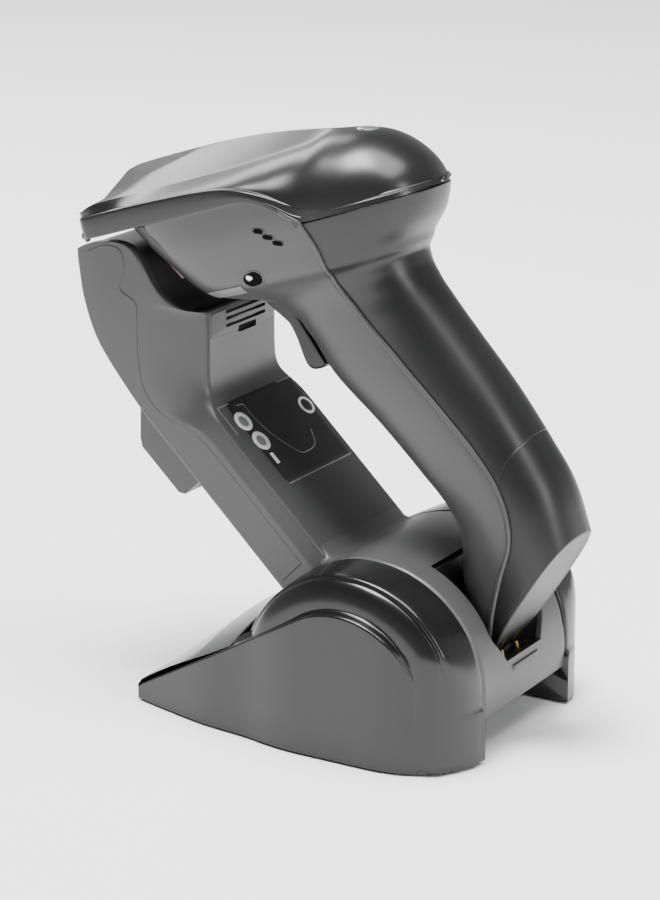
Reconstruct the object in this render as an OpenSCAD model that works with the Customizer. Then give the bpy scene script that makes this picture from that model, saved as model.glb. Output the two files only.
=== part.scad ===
// Cordless pistol-grip barcode scanner standing in its tilting charging cradle.
// Frame: millimetres, +Z up, origin on the desk under the tilt axis.
// +X is the left side of the scanner, -Y is the nose, +Y is the back.

/* [Base] */
// Height of the tilt axis above the desk
axis_z = 21; // [20.5:0.5:22]
// Radius of the round cheeks at their inner face
cheek_r = 40.6; // [40.4:0.1:41]
// Half the clear width between the cheeks
cheek_gap = 29.4; // [29.4:0.1:29.8]
// Half the width of the domed cheeks
dome_x = 50.5; // [50:0.5:51]
// How far the side skirts stand proud of the domes
skirt_t = 3.2; // [2.6:0.2:3.4]
// Height of the front edge of the foot
toe_h = 7; // [6:0.5:8]
// Slope of the deck behind the toe, degrees
deck_slope = 30; // [29:0.5:31]
// Height of the deck's crown along the middle
deck_crown = 7; // [5:0.5:8]

/* [Cradle] */
// Radius of the drum that turns between the cheeks
drum_r = 40.2; // [39.8:0.1:40.2]
// Half the width of the drum
drum_x = 29; // [28.4:0.1:29]
// Lean of the arm from level, degrees
arm_lean = 44; // [43:0.5:45]
// Half the width of the arm
arm_x = 28; // [27:0.5:28.5]
// Height of the arm's face above its centre plane
face_n = 12.6; // [12:0.2:13]
// Depth of the arm's front below its centre plane
front_n = 8; // [7.5:0.5:8.5]
// Thickness of the cradle's walls
wall = 2.2; // [1.8:0.1:2.4]

/* [Scanner] */
// Nose-down lean of the docked scanner, degrees
scanner_lean = 18; // [18:0.5:18.5]
// Thickness of the scanner's walls
shell_t = 2; // [1.6:0.1:2.2]
// Half the width of the trigger
trigger_x = 7; // [6:0.5:7.5]
// Radius of the battery cell
cell_r = 9.1; // [8.9:0.1:9.3]
// Length of the battery cell
cell_l = 58; // [50:1:60]

/* [Hidden] */
$fn = 64;

// ---------- helpers ----------

// Skin through rings of points that all have the same count. Each ring runs
// anticlockwise when it is seen from the side that the rings lead to.
module loft(rings) {
    n = len(rings[0]);
    m = len(rings);
    polyhedron(points = [for (r = rings) each r],
        faces = concat([[for (i = [0:n - 1]) i]],
            [for (j = [0:m - 2], i = [0:n - 1]) [j*n + i, (j + 1)*n + i, (j + 1)*n + (i + 1) % n]],
            [for (j = [0:m - 2], i = [0:n - 1]) [j*n + i, (j + 1)*n + (i + 1) % n, j*n + (i + 1) % n]],
            [[for (i = [0:n - 1]) (m - 1)*n + n - 1 - i]]));
}

// Extrude a (y, z) outline along X between two planes.
module side_cut(x0, x1) translate([x0, 0, 0]) rotate([90, 0, 90]) linear_extrude(x1 - x0) children();

// Cylinder along X.
module rod_x(r, x0, x1) translate([x0, 0, 0]) rotate([0, 90, 0]) cylinder(r = r, h = x1 - x0);

// Rectangle given by its low and high corners.
module block(lo, hi) translate(lo) cube(hi - lo);

// Points of an arc, by radius, first angle, last angle and number of steps.
function arc(r, a0, a1, n, c = [0, 0]) =
    [for (i = [0:n]) let (a = a0 + (a1 - a0)*i/n) [c.x + r*cos(a), c.y + r*sin(a)]];

module at_axis() translate([0, 0, axis_z]) children();
module in_arm() at_axis() rotate([-arm_lean, 0, 0]) children();
module in_scanner() rotate([scanner_lean, 0, 0]) children();
module both_sides() {
    children();
    mirror([1, 0, 0]) children();
}

// ---------- base ----------

// Half of the plan outline, front to back.
plan = [[40.5, -85], [45.2, -68], [48.4, -55], [51, -35], [53.2, -24], [54, -14], [54, 10], [53.2, 19],
        [51, 27], [48, 33], [43.4, 36.6], [36, 40.2], [29.4, 41.2]];
// The skirts' thickness fades out behind this y.
fade_y = 18;
function inset(y, d) = y < fade_y ? d : d*max(0, 1 - (y - fade_y)/9);
function plan_pts(d) = [for (p = plan) [p.x - inset(p.y, d), p.y]];
// Closed outline made from its right half, front to back.
function both(half) = concat(half, [for (i = [len(half) - 1:-1:0]) [-half[i].x, half[i].y]]);
module plan_solid(d = 0, h = 70) linear_extrude(h) polygon(both(plan_pts(d)));

swoosh_r = 29;
toe_y = -85;
rear_y = 41.2;
deck_end = -44;

// Side outline of the proud skirt: toe, straight slope, round back.
module skirt_2d() polygon(concat([[45, 0.6], [toe_y - 1, 0.6], [toe_y - 1, toe_h]],
    [for (a = [90 + deck_slope:-10:10]) [swoosh_r*cos(a), axis_z + swoosh_r*sin(a)]], [[45, axis_z]]));

function deck_z(y, x) = toe_h + (y - toe_y)*tan(deck_slope)*0.985 + deck_crown*(1 - pow(x/46,
    2))*min(1, (y - toe_y)/26);
deck_ys = [-85, -79, -72, -59, -50, deck_end];
module deck() loft([for (x = [-51, -46, -38, -26, -13, 0, 13, 26, 38, 46, 51])
    concat([for (i = [len(deck_ys) - 1:-1:0]) let (y = deck_ys[i]) [x, y, max(4, deck_z(y, min(47,
        abs(x))))]],
        [[x, toe_y, 0.6], [x, deck_end, 0.6]])]);

module dome() at_axis() rotate([0, 90, 0]) rotate_extrude() polygon([[0, cheek_gap], [cheek_r, cheek_gap],
    [cheek_r - 1, 45.4], [cheek_r - 2, 46.4], [cheek_r - 3.6, 49], [cheek_r - 6.2, dome_x], [0, dome_x]]);
module cheek() {
    dome();
    side_cut(cheek_gap, 55) polygon([[-60, 0.6], [rear_y, 0.6], [rear_y, 12], [38, axis_z + 12],
        [-30, axis_z + 20], [-44, 30]]);
}

pin_r = 3.95;
bore_r = 4;
boss_r = 8;
plate_top = 3.2;
screw_at = [[38, -66], [-38, -66], [44, 16], [-44, 16]];

module base_frame() color([0.13, 0.13, 0.14]) {
    difference() {
        union() {
            intersection() {
                plan_solid(skirt_t);
                union() {
                    deck();
                    both_sides() cheek();
                }
            }
            // proud skirts along the sides
            intersection() {
                plan_solid(0, 60);
                both_sides() side_cut(37.2, 60) skirt_2d();
            }
        }
        // room for the drum and the arm, open at the back
        side_cut(-cheek_gap, cheek_gap) polygon([[-43.5, plate_top], [-43.5, 70], [60, 70], [60, -1],
            [24, -1], [24, plate_top]]);
        // hollow wedge under the deck
        side_cut(-cheek_gap + 2, cheek_gap - 2) polygon([[-80, -1], [-80, 4.5], [-46, 24], [-46, -1]]);
        both_sides() difference() {
            union() {
                side_cut(cheek_gap + 2.6, 37) polygon([[-79, -1], [-79, 4.5], [-44, 22], [-44, -1]]);
                at_axis() rod_x(36.5, cheek_gap + 2.6, 46);
                side_cut(cheek_gap + 2.6, 46) polygon([[-50, -1], [-50, 18], [-34, 24], [24, 24],
                    [24, -1]]);
            }
            at_axis() rod_x(boss_r, cheek_gap, 47);
            for (p = screw_at) if (p.x > 0) translate([p.x, p.y, 0]) cylinder(r = 3.6, h = 12);
        }
        at_axis() rod_x(bore_r, -46, 46);
        translate([0, 0, -1]) linear_extrude(1 + plate_top + 0.05) plate_2d(0.3);
        for (p = screw_at) translate([p.x, p.y, 0]) cylinder(r = 1.4, h = 10);
    }
}
module plate_2d(g = 0) polygon(both([[38 + g, -81 - g], [46 + g, -48], [47.5 + g, -20], [47.5 + g, 24],
    [42, 33 + g], [cheek_gap + 1.5 - g, 34 + g], [cheek_gap + 1.5 - g, 24 + g]]));
fix_x = 48;
fix_y = 40;
fix_at = [for (s = [-1, 1], t = [-1, 1]) [s*fix_x/2, -40 + t*fix_y/2]];
module base_plate() color([0.1, 0.1, 0.11]) difference() {
    translate([0, 0, 0.8]) linear_extrude(plate_top - 0.8) plate_2d();
    for (p = screw_at) translate([p.x, p.y, -1]) cylinder(r = 1.5, h = 9);
    for (p = screw_at) translate([p.x, p.y, -1]) cylinder(r = 3.1, h = 3.2);
    for (p = fix_at) translate([p.x, p.y, -1]) cylinder(r = 2.1, h = 9);
}
module base_screws() color("silver") for (p = screw_at) translate([p.x, p.y, 0]) {
    difference() {
        translate([0, 0, 1]) cylinder(r = 2.8, h = 1.15);
        translate([0, 0, 0.9]) for (a = [0, 90]) rotate(a) block([-1.6, -0.35, 0], [1.6, 0.35, 0.8]);
    }
    translate([0, 0, 2]) cylinder(r = 1.35, h = 7.6);
}
foot_at = [[34, -74], [-34, -74], [40, 27], [-40, 27]];
module rubber_feet() color([0.05, 0.05, 0.05]) {
    for (p = foot_at) translate([p.x, p.y, 0]) cylinder(r = 5, h = 0.8);
    block([-16, -5, 0], [16, 5, 0.8]);
}
module ballast_plate() color([0.5, 0.5, 0.52]) difference() {
    side_cut(-24, 24) polygon([[-76, plate_top], [-76, 5.4], [-62, 12], [-47.5, 12], [-47.5, plate_top]]);
    for (p = fix_at) translate([p.x, p.y, 0]) cylinder(r = 5, h = 20);
}
module pivot_pins() color("silver") both_sides() at_axis() rod_x(pin_r, 22.5, 45.5);
module friction_washers() color([0.75, 0.73, 0.65]) both_sides() at_axis() difference() {
    rod_x(7.5, cheek_gap - 1.2, cheek_gap);
    rod_x(4.1, cheek_gap - 3, cheek_gap + 1);
}

// ---------- cradle ----------

// Side outline of the arm and its head, up the front and down the back.
arm_front = [[-91, 98], [-97, 105], [-103.5, 113], [-108.5, 119.5], [-111.5, 127], [-113.6, 136],
    [-115, 147]];
arm_rim = [[-113, 150.5], [-107, 153.2], [-99, 154.4], [-94.5, 154], [-88, 147], [-84, 139],
    [-74, 133.2], [-68, 132.8]];
function arm_pt(a, n) = [a*cos(arm_lean) + n*sin(arm_lean), axis_z - a*sin(arm_lean) + n*cos(arm_lean)];
arm_root_front = arm_pt(-36, -front_n);
arm_root_face = arm_pt(-38, face_n);
wall_y = -68;
arm_knee = [[wall_y, 108.6], [wall_y + 0.7, 105], arm_pt(-102.5, face_n)];
module arm_2d() polygon(concat([[-8, axis_z + 20], arm_root_front], arm_front, arm_rim, arm_knee,
    [arm_root_face, [-4, axis_z + 30]]));

// Plan of the arm's head: square in front, well rounded at the back.
wall_x = 20;
module head_plan() translate([0, 0, 40]) linear_extrude(130) polygon(both(concat([[arm_x, -125],
    [arm_x, -90]],
    [for (a = [15:15:90]) [wall_x + (arm_x - wall_x)*cos(a), -90 + (wall_y + 90)*sin(a)]])));
// Cross-section of the bar: long chamfers beside the face.
module bar_section() in_arm() rotate([90, 0, 0]) translate([0, 0, -20]) linear_extrude(200)
    polygon(both([[arm_x, -front_n - 12], [arm_x, face_n - 5.5], [arm_x - 2, face_n]]));
module arm_solid() {
    intersection() {
        side_cut(-arm_x, arm_x) arm_2d();
        union() {
            head_plan();
            bar_section();
        }
        // the head keeps the wide plan, the bar keeps the chamfered section
        union() {
            block([-40, -130, 105], [40, -66, 160]);
            bar_section();
        }
    }
}
saddle_2d = [[-120, 149.8], [-96, 151.4], [-87, 143.2], [-81.5, 137.3], [-75, 132.4], [-66, 131.8],
    [-60, 160], [-120, 165]];
saddle_x = 24;

sector = concat([[0, 0]], arc(60, -10, 162, 20));
module drum_sector() at_axis() side_cut(-drum_x, drum_x) polygon(sector);
module drum_outer() at_axis() rod_x(drum_r, -drum_x, drum_x);

// Pocket for the foot of the handle, in the scanner's own frame.
pocket_floor = 15.2;
pocket_front = 31.8;
module pocket_room(g = 0) in_scanner() intersection() {
    block([-18.2 - g, pocket_front - g, pocket_floor - g], [18.2 + g, 60, 62]);
    rotate([90, 0, 0]) translate([0, 0, -70]) linear_extrude(60) polygon([[-12.6 - g,
        pocket_floor - g], [12.6 + g, pocket_floor - g],
        [18.2 + g, 25 - g], [18.2 + g, 62], [-18.2 - g, 62], [-18.2 - g, 25 - g]]);
}
module cradle_hull() {
    arm_solid();
    intersection() {
        drum_outer();
        drum_sector();
    }
}
module arm_room() {
    // hollow of the bar
    in_arm() block([-arm_x + wall, -122, -front_n + wall], [arm_x - wall, -36, face_n - wall]);
    in_arm() block([-arm_x + wall + 1.5, -103.65, -front_n + wall], [arm_x - wall - 1.5, -43.85, face_n + 1]);
    // hollow of the head, open behind the face cover
    side_cut(-19, 19) polygon([[-91, 104], [-97, 109], [-104, 120], [-108, 134], [-109, 145],
        [-96, 146.5],
        [-84.5, 134], [-78, 128.8], [-72.2, 128], [-72.2, 104], [-75, 96]]);
    side_cut(-17, 17) polygon([[-80, 124], [-60, 124], [-60, 108], [-66, 99], [-75, 96]]);
}
module drum_room() intersection() {
    at_axis() difference() {
        rod_x(drum_r - 2.6, -drum_x + 2.6, drum_x - 2.6);
        both_sides() rod_x(boss_r + 1, 20, 30);
    }
    union() {
        side_cut(-40, 40) polygon([[-50, -30], [50, -30], [50, 70], [-9, 70], [-34, 36]]);
    }
}
module cradle_body() color([0.42, 0.42, 0.43]) difference() {
    union() {
        difference() {
            cradle_hull();
            arm_room();
            drum_room();
        }
        // hubs of the drum
        at_axis() both_sides() rod_x(boss_r, 22, drum_x);
    }
    // clearance for the washers on the drum's ends
    at_axis() both_sides() rod_x(8.2, cheek_gap - 1.3, cheek_gap + 1);
    at_axis() rod_x(bore_r, -35, 35);
    side_cut(-saddle_x, saddle_x) polygon(saddle_2d);
    pocket_room(0);
    intersection() {
        pocket_room(1.9);
        at_axis() rod_x(drum_r - 1.4, -25, 25);
    }
    // seats of the face cover and the vent panel
    face_plate(0.15);
    vent_plate(0.15);
    // seats of the side panels
    both_sides() side_cut(arm_x - 1, arm_x + 2) panel_2d(0.2);
    // wires to the jacks
    in_arm() block([-10, -104, -12], [18, -96, 0]);
    // screw holes under the arm
    for (p = arm_screws) in_arm() translate([p.x, p.y, -front_n - 1]) {
        cylinder(r = 1.5, h = 5);
        cylinder(r = 2.9, h = 1.8);
    }
}

// Cover on the back of the arm: flat face, rounded knee and the foot of the upright wall.
face_x = 25.4;
vent_z = 122.6;
cover_t = 1.6;
module face_plate(g = 0) {
    in_arm() block([-face_x - g, -103.5, face_n - cover_t - g], [face_x + g, -44 + g, face_n]);
    side_cut(-wall_x + 0.6 - g, wall_x - 0.6 + g) polygon([arm_pt(-103.5, face_n), arm_pt(-100,
        face_n - cover_t - g),
        arm_pt(-103, face_n - cover_t - 1 - g), [wall_y - cover_t - g, 105],
            [wall_y - cover_t - g, vent_z - 0.1],
        [wall_y, vent_z - 0.1], [wall_y, 108.6], [wall_y + 0.7, 105]]);
}
module lamp_holes() in_arm() {
    for (p = ring_at) translate([p.x, p.y, 0]) cylinder(r = 3.75, h = 20);
    translate([page_at.x, page_at.y, 0]) cylinder(r = 3.5, h = 20);
    block([dash_at.x - 0.8, dash_at.y - 2.3, 5], [dash_at.x + 0.8, dash_at.y + 2.3, 20]);
}
module cradle_face() color([0.36, 0.36, 0.37]) difference() {
    face_plate();
    film(0.1);
    lamp_holes();
}
// Vented panel at the top of the upright wall.
module vent_plate(g = 0) block([-wall_x + 0.6 - g, wall_y - cover_t - g, vent_z - g],
    [wall_x - 0.6 + g, wall_y, 131.4 + g]);
module vent_panel() color([0.4, 0.4, 0.41]) difference() {
    vent_plate();
    for (z = [124.9, 127.3, 129.7]) block([-14, wall_y - 1.2, z], [10.2, wall_y + 1, z + 1.2]);
    block([-8.1, wall_y - 1.2, 122], [2.4, wall_y + 1, 124]);
}
film_y = [-102, -68];
film_x = [-24, 17];
ring_at = [[15, -93.6], [13.8, -85]];
dash_at = [13.9, -77.6];
page_at = [-20.4, -89.8];
module film(g = 0) in_arm() block([film_x[0] - g, film_y[0] - g, face_n - 0.4],
    [film_x[1] + g, film_y[1] + g, face_n + g]);
module face_film() color([0.12, 0.12, 0.13]) difference() {
    film();
    lamp_holes();
}
module indicator_rings() color([0.85, 0.85, 0.85]) in_arm() {
    for (p = ring_at) translate([p.x, p.y, 5]) difference() {
        cylinder(r = 3.7, h = face_n - 5 + 0.1);
        translate([0, 0, face_n - 5.4]) cylinder(r = 2.1, h = 2);
    }
    block([dash_at.x - 0.75, dash_at.y - 2.2, 6], [dash_at.x + 0.75, dash_at.y + 2.2, face_n + 0.05]);
}
module page_button() color([0.8, 0.8, 0.8]) in_arm() translate([page_at.x, page_at.y, 0]) {
    translate([0, 0, 4.6]) cylinder(r = 3.2, h = face_n - 4.6 + 0.5);
    translate([0, 0, face_n - wall - 1.6]) cylinder(r = 4.2, h = 1.2);
}
module page_switch() color([0.2, 0.2, 0.2]) in_arm() translate([page_at.x, page_at.y, 0]) {
    block([-2.5, -2.5, 0.2], [2.5, 2.5, 2.8]);
    translate([0, 0, 2.8]) cylinder(r = 1.4, h = 0.9);
}
module cradle_board() color([0.08, 0.3, 0.16]) difference() {
    in_arm() block([-23, -112, -1.4], [23, -48, 0.2]);
    for (p = arm_screws) in_arm() translate([p.x, p.y, -5]) cylinder(r = 3.4, h = 20);
}
arm_screws = [[-18, -54], [18, -54], [-18, -78], [18, -78]];
module cradle_screws() color("silver") in_arm() for (p = arm_screws) translate([p.x, p.y,
    -front_n]) difference() {
    union() {
        cylinder(r = 2.7, h = 0.75);
        cylinder(r = 1.4, h = face_n + front_n - wall - 0.3);
    }
    translate([0, 0, -0.1]) for (a = [0, 90]) rotate(a) block([-1.5, -0.3, 0], [1.5, 0.3, 0.5]);
}

// Inset panel on each side of the arm, a step inside its outline.
module panel_2d(g = 0) polygon([arm_pt(-44, -5 - g), arm_pt(-122, -5 - g), [-99.5 - g, 111],
    [-105.2 - g, 119.6], [-108.4 - g, 127.6],
    [-110.6 - g, 136], [-112 - g, 145.8 + g], [-106, 148.4 + g], [-99, 149 + g], [-93.6 + g, 145.4],
        [-91.4 + g, 138],
    [-91 + g, 127], [-87.6 + g, 118.4], [-79.6 + g, 108.6], arm_pt(-103, 4.6 + g), arm_pt(-44, 4.6 + g)]);
module side_panel() color([0.5, 0.5, 0.51]) side_cut(arm_x - 0.95, arm_x - 0.1) panel_2d();
module side_panel_left() side_panel();
module side_panel_right() mirror([1, 0, 0]) side_panel();

module pocket_liner() color([0.1, 0.1, 0.1]) {
    difference() {
        intersection() {
            pocket_room(1.8);
            at_axis() rod_x(drum_r - 1.5, -25, 25);
        }
        pocket_room(0);
        in_scanner() for (x = pad_x) translate([x, pin_u, 5]) cylinder(r = 1, h = 12);
    }
}

cover_x = 23;
module cover_2d() polygon([[-88, -front_n], [-88.6, -18.4], [-90.6, -20], [-110.4, -20.2],
    [-113, -18.6], [-120, -11],
    [-120, -front_n]]);
module connector_cover() color([0.4, 0.4, 0.41]) difference() {
    in_arm() side_cut(-cover_x, cover_x) cover_2d();
    in_arm() side_cut(-cover_x + 1.8, cover_x - 1.8) polygon([[-89.8, -front_n + 1], [-90.2, -18.2],
        [-110, -18.4], [-117.6, -11], [-117.6, -front_n + 1]]);
    in_arm() block([-8.15, -92, -17.9], [8.15, -80, -front_n + 1]);
    in_arm() translate([15, -92, -13.6]) rotate([-90, 0, 0]) cylinder(r = 3.9, h = 12);
}
module data_jack() color([0.1, 0.1, 0.1]) in_arm() difference() {
    block([-8, -106, -17.8], [8, -88.5, -front_n - 0.1]);
    block([-6, -101, -16.6], [6, -80, -front_n - 1.6]);
    block([-3, -101, -17.3], [3, -80, -16]);
}
module power_jack() color([0.12, 0.12, 0.12]) in_arm() {
    difference() {
        translate([15, -104, -13.6]) rotate([-90, 0, 0]) cylinder(r = 3.8, h = 15.6);
        translate([15, -101, -13.6]) rotate([-90, 0, 0]) cylinder(r = 2.8, h = 20);
    }
    translate([15, -102, -13.6]) rotate([-90, 0, 0]) cylinder(r = 0.65, h = 11);
}
// Charging contacts, drawn level in the scanner's frame: spring pins under the pads of the sole.
pad_x = [-5, 5];
pin_u = 41;
module contact_block() color([0.15, 0.15, 0.15]) in_scanner() difference() {
    block([-8, 37.6, 9], [8, 42.2, 13.3]);
    for (x = pad_x) translate([x, pin_u, 0]) cylinder(r = 0.85, h = 20);
    for (x = pad_x) translate([x, pin_u, 10.4]) cylinder(r = 1.35, h = 20);
}
module charge_pins() color([0.85, 0.7, 0.35]) in_scanner() for (x = pad_x) translate([x, pin_u, 0]) {
    translate([0, 0, 9.4]) cylinder(r = 0.8, h = 8.1);
    translate([0, 0, 11.4]) cylinder(r = 1.25, h = 1.6);
}

// ---------- scanner ----------
// Everything below is drawn level and leaned by in_scanner().

// Level slices of the grip and lower head:
// height, front, widest, back, half width, front roundness, back roundness
grip = [[14, 39, 44, 58, 9, 2.2, 2.2], [20, 36, 50, 68, 12, 2.3, 2.4], [28, 34.4, 55, 76, 15, 2.4, 2.6],
        [40, 34.2, 57, 77.8, 16.6, 2.4, 2.8], [50, 36.6, 58.5, 78.1, 17.1, 2.4, 2.8],
            [58, 38.6, 59, 78.1, 17.3, 2.4, 2.7],
        [68, 36.5, 57, 77.3, 17.4, 2.4, 2.6], [80, 30.2, 52.5, 73.9, 17.4, 2.4, 2.5],
            [98, 20, 44.5, 67.7, 17.4, 2.4, 2.5],
        [119, 7, 33, 58.6, 17.4, 2.4, 2.5], [132, 2.5, 28, 52.7, 17.8, 2.4, 2.5],
            [140, -2, 25, 49.3, 18.6, 2.5, 2.5],
        [146, -10, 22, 47.9, 20.6, 2.8, 2.4], [149.5, -22, 18, 48, 23.6, 3.2, 2.3],
            [153.5, -28, 15, 50.4, 26.4, 3.8, 2.3],
        [160, -32, 13, 57, 28.8, 4.4, 2.3], [165, -35, 12, 60, 30.2, 4.6, 2.3],
            [168.5, -37, 12, 61.2, 31, 4.8, 2.3],
        [180, -45, 12, 60, 31.8, 5, 2.3]];
ring_n = 36;
function spow(v, e) = sign(v)*pow(abs(v), e);
function slice(g, d) = [for (i = [0:ring_n - 1]) let (t = 360*i/ring_n, p = sin(t) > 0 ? g[6] : g[5])
    [(g[4] - d)*spow(cos(t), 2/p), g[2] + (sin(t) > 0 ? g[3] - d - g[2] : g[2] - g[1] - d)*spow(sin(t),
        2/p), g[0]]];
module grip_solid(d = 0) loft([for (g = grip) slice(g, d)]);

// Cross slices of the hood: station, lower edge, top of the side, ridge, half width, roundness of the roof
hood = [[-55.2, 182.4, 186.2, 194, 32.6, 1.7], [-53, 180.4, 188.4, 198.4, 34.9, 1.5],
    [-44, 180, 189.6, 199.2, 35.4, 1.45],
        [-20, 180, 190, 199.3, 35.8, 1.45], [0, 180, 189.4, 198, 35.4, 1.5],
            [9, 179.7, 188, 197.2, 34.8, 1.6],
        [14, 178.2, 186.4, 196.6, 34, 1.7], [19, 174.8, 184.4, 195.8, 32.8, 1.8],
            [23, 171, 182.4, 195.2, 31.4, 1.9],
        [27, 168.6, 180.6, 194.4, 30.1, 2], [37, 168.6, 178.4, 192.2, 28, 2.2],
            [46, 168.6, 176.6, 189.4, 24.3, 2.3],
        [54, 168.6, 174.4, 183, 18.5, 2.2], [58, 168.6, 172.5, 178, 13.3, 2.1],
            [60.8, 168.6, 169.8, 171.8, 5.5, 2]];
roof_n = 7;
function hood_half(s, d, lip) = concat([[s[4] - d, s[1] - lip], [s[4] + 0.3 - d, (s[1] + s[2])/2],
    [s[4] - 0.5 - d, s[2] - d/2]],
    [for (i = [1:roof_n]) let (x = 1 - i/roof_n) [(s[4] - 1 - d)*x,
        s[2] - d/2 + (s[3] - d - s[2] + d/2)*(1 - pow(x, s[5]))]]);
function hood_ring(s, d, lip) = let (h = hood_half(s, d, lip), n = len(h))
    concat([for (p = h) [-p.x, s[0], p.y]], [for (i = [n - 2:-1:0]) [h[i].x, s[0], h[i].y]]);
module hood_solid() loft([for (s = hood) hood_ring(s, 0, 0)]);
module hood_room() loft([for (i = [1:len(hood) - 2]) hood_ring(hood[i] - [i > 8 ? 1.2 : 0, 0, 0, 0, 0,
    0], shell_t, 3)]);

// Everything above the seam under the hood, drawn as a side outline.
seam = [[-60, 180], [8, 179.9], [14, 178.2], [19, 174.8], [23, 171], [27, 168.6], [70, 168.6]];
module above_seam(g = 0) side_cut(-50, 50) polygon(concat([for (p = seam) [p.x, p.y + g]], [[70, 230],
    [-60, 230]]));

// Line between the light front shell and the dark rear shell.
split = [[25, 172], [28, 158], [26.4, 147], [29, 138], [39.5, 118], [51, 97], [58, 83], [61.6, 73],
    [62.8, 64],
         [61, 54], [54.6, 44], [44.6, 28], [38.4, 17], [36, 4]];
module behind_split(g = 0) side_cut(-50, 50) polygon(concat([for (p = split) [p.x + g, p.y]],
    [[110, 4], [110, 172]]));
// Seam of the battery cap.
cap_seam = [[55, 62], [62, 70.5], [65.5, 77], [70, 82.5], [76, 86.4], [100, 92]];
module below_cap(g = 0) side_cut(-50, 50) polygon(concat([for (p = cap_seam) [p.x, p.y - g]],
    [[100, -10], [20, -10], [40, 62 - g]]));

// Slanting underside of the grip.
sole_at = [40, 17.6];
sole_slope = 40.3;
module sole_cut(d = 0) translate([0, sole_at.x, sole_at.y + d]) rotate([sole_slope, 0, 0]) block([-60,
    -60, -60], [60, 90, 0]);
module outer_grip() difference() {
    grip_solid(0);
    sole_cut();
}
module inner_grip() difference() {
    grip_solid(shell_t);
    sole_cut(3);
}
module in_sole() translate([0, sole_at.x, sole_at.y]) rotate([sole_slope, 0, 0]) children();
// The window's plane: local Y runs up it and local Z points out of the nose.
window_lean = 122.5;
module in_window() translate([0, -36.4, 167]) rotate([window_lean, 0, 0]) children();

gap = 0.1;
module trigger_slot() block([-trigger_x - 0.6, -15, 117.4], [trigger_x + 0.6, 12, 151]);

module top_shell() color([0.3, 0.3, 0.31]) in_scanner() difference() {
    hood_solid();
    hood_room();
    translate([0, 41, 150]) cylinder(r = 3.6, h = 60);
}
module front_shell() color([0.5, 0.5, 0.51]) in_scanner() difference() {
    outer_grip();
    inner_grip();
    above_seam(-gap);
    behind_split(-gap/2);
    nose_cut();
    trigger_slot();
    label_plate(0.1);
    // vents behind the flank
    for (i = [0:2]) translate([0, 11 + 2.6*i, 169.4 - 2.6*i]) rotate([-18, 0, 0]) block([20, -1.9,
        -0.6], [40, 1.9, 0.6]);
    for (i = [0:2]) translate([0, 11 + 2.6*i, 169.4 - 2.6*i]) rotate([-18, 0, 0]) block([-40, -1.9,
        -0.6], [-20, 1.9, 0.6]);
    // screw recesses in the flanks
    for (s = [-1, 1]) translate([s*24, 1.4, 154.6]) rotate([0, s*55, 0]) cylinder(r = 2.8, h = 14,
        center = true);
}
// The bezel takes the nose of the lower head.
module nose_cut(g = 0) side_cut(-50, 50) polygon([[-60, 185], [-33.5 - g, 185], [-33 - g, 177],
    [-29.6 - g, 173.4], [-27 - g, 167], [-24 - g, 158],
    [-18 - g, 146], [-60, 130]]);
window_x = 21;
window_y = 10;
module window_bezel() color([0.07, 0.07, 0.07]) in_scanner() difference() {
    intersection() {
        outer_grip();
        nose_cut(gap);
    }
    above_seam(-gap);
    intersection() {
        inner_grip();
        in_window() block([-50, -50, -80], [50, 50, -4.4]);
    }
    in_window() block([-window_x + 1.5, 1.5 - window_y, -9], [window_x - 1.5, window_y - 1.5, 12]);
    in_window() block([-window_x, -window_y, -9], [window_x, window_y, -1.4]);
}
module scan_window() color([0.25, 0.02, 0.03, 0.6]) in_scanner() in_window()
    block([0.1 - window_x, 0.1 - window_y, -2.9], [window_x - 0.1, window_y - 0.1, -1.45]);

module rear_shell() color([0.14, 0.14, 0.15]) in_scanner() difference() {
    intersection() {
        outer_grip();
        behind_split(gap/2);
    }
    inner_grip();
    above_seam(-gap);
    below_cap(-gap/2);
}
cap_screw_y = 27;
module battery_cap() color([0.12, 0.12, 0.13]) in_scanner() difference() {
    intersection() {
        outer_grip();
        behind_split(gap/2);
        below_cap(gap/2);
    }
    inner_grip();
    in_sole() for (x = pad_x) block([x - 1.6, 0.8, -1], [x + 1.6, 5.2, 1]);
    in_sole() translate([0, cap_screw_y, -1]) cylinder(r = 2.3, h = 2.6);
}

trigger_pivot = [-6, 152.6];
module trigger() color([0.2, 0.2, 0.21]) in_scanner() difference() {
    side_cut(-trigger_x, trigger_x) polygon([[-11, 154], [-12.6, 149], [-10.4, 146.4], [-6.6, 143.2],
        [-3.6, 138], [-1.8, 132],
        [-1.2, 126], [-1.2, 121.6], [0.6, 119.4], [5.4, 119.6], [6.2, 121], [3.6, 128], [1.6, 134],
            [-0.6, 141],
        [-2.6, 148], [-3, 154], [-6, 156.4], [-9, 156]]);
    translate([0, trigger_pivot.x, trigger_pivot.y]) rod_x(1.55, -10, 10);
}
module trigger_pin() color("silver") in_scanner() translate([0, trigger_pivot.x,
    trigger_pivot.y]) rod_x(1.5, -12, 12);
module trigger_switch() color([0.2, 0.2, 0.22]) in_scanner() {
    block([-4, 8.6, 129], [4, 14.6, 139]);
    translate([0, 8.6, 134.6]) rotate([90, 0, 0]) cylinder(r = 1.3, h = 3);
}
module good_read_lamp() color([0.8, 0.85, 0.8]) in_scanner() translate([0, 41, 0]) {
    translate([0, 0, 184]) cylinder(r = 3.5, h = 8);
    translate([0, 0, 184]) cylinder(r = 4.6, h = 1.2);
}
module beeper() color([0.1, 0.1, 0.1]) in_scanner() translate([0, 38, 170.7]) difference() {
    cylinder(r = 6, h = 5);
    translate([0, 0, 4.2]) cylinder(r = 1.2, h = 2);
}
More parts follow.
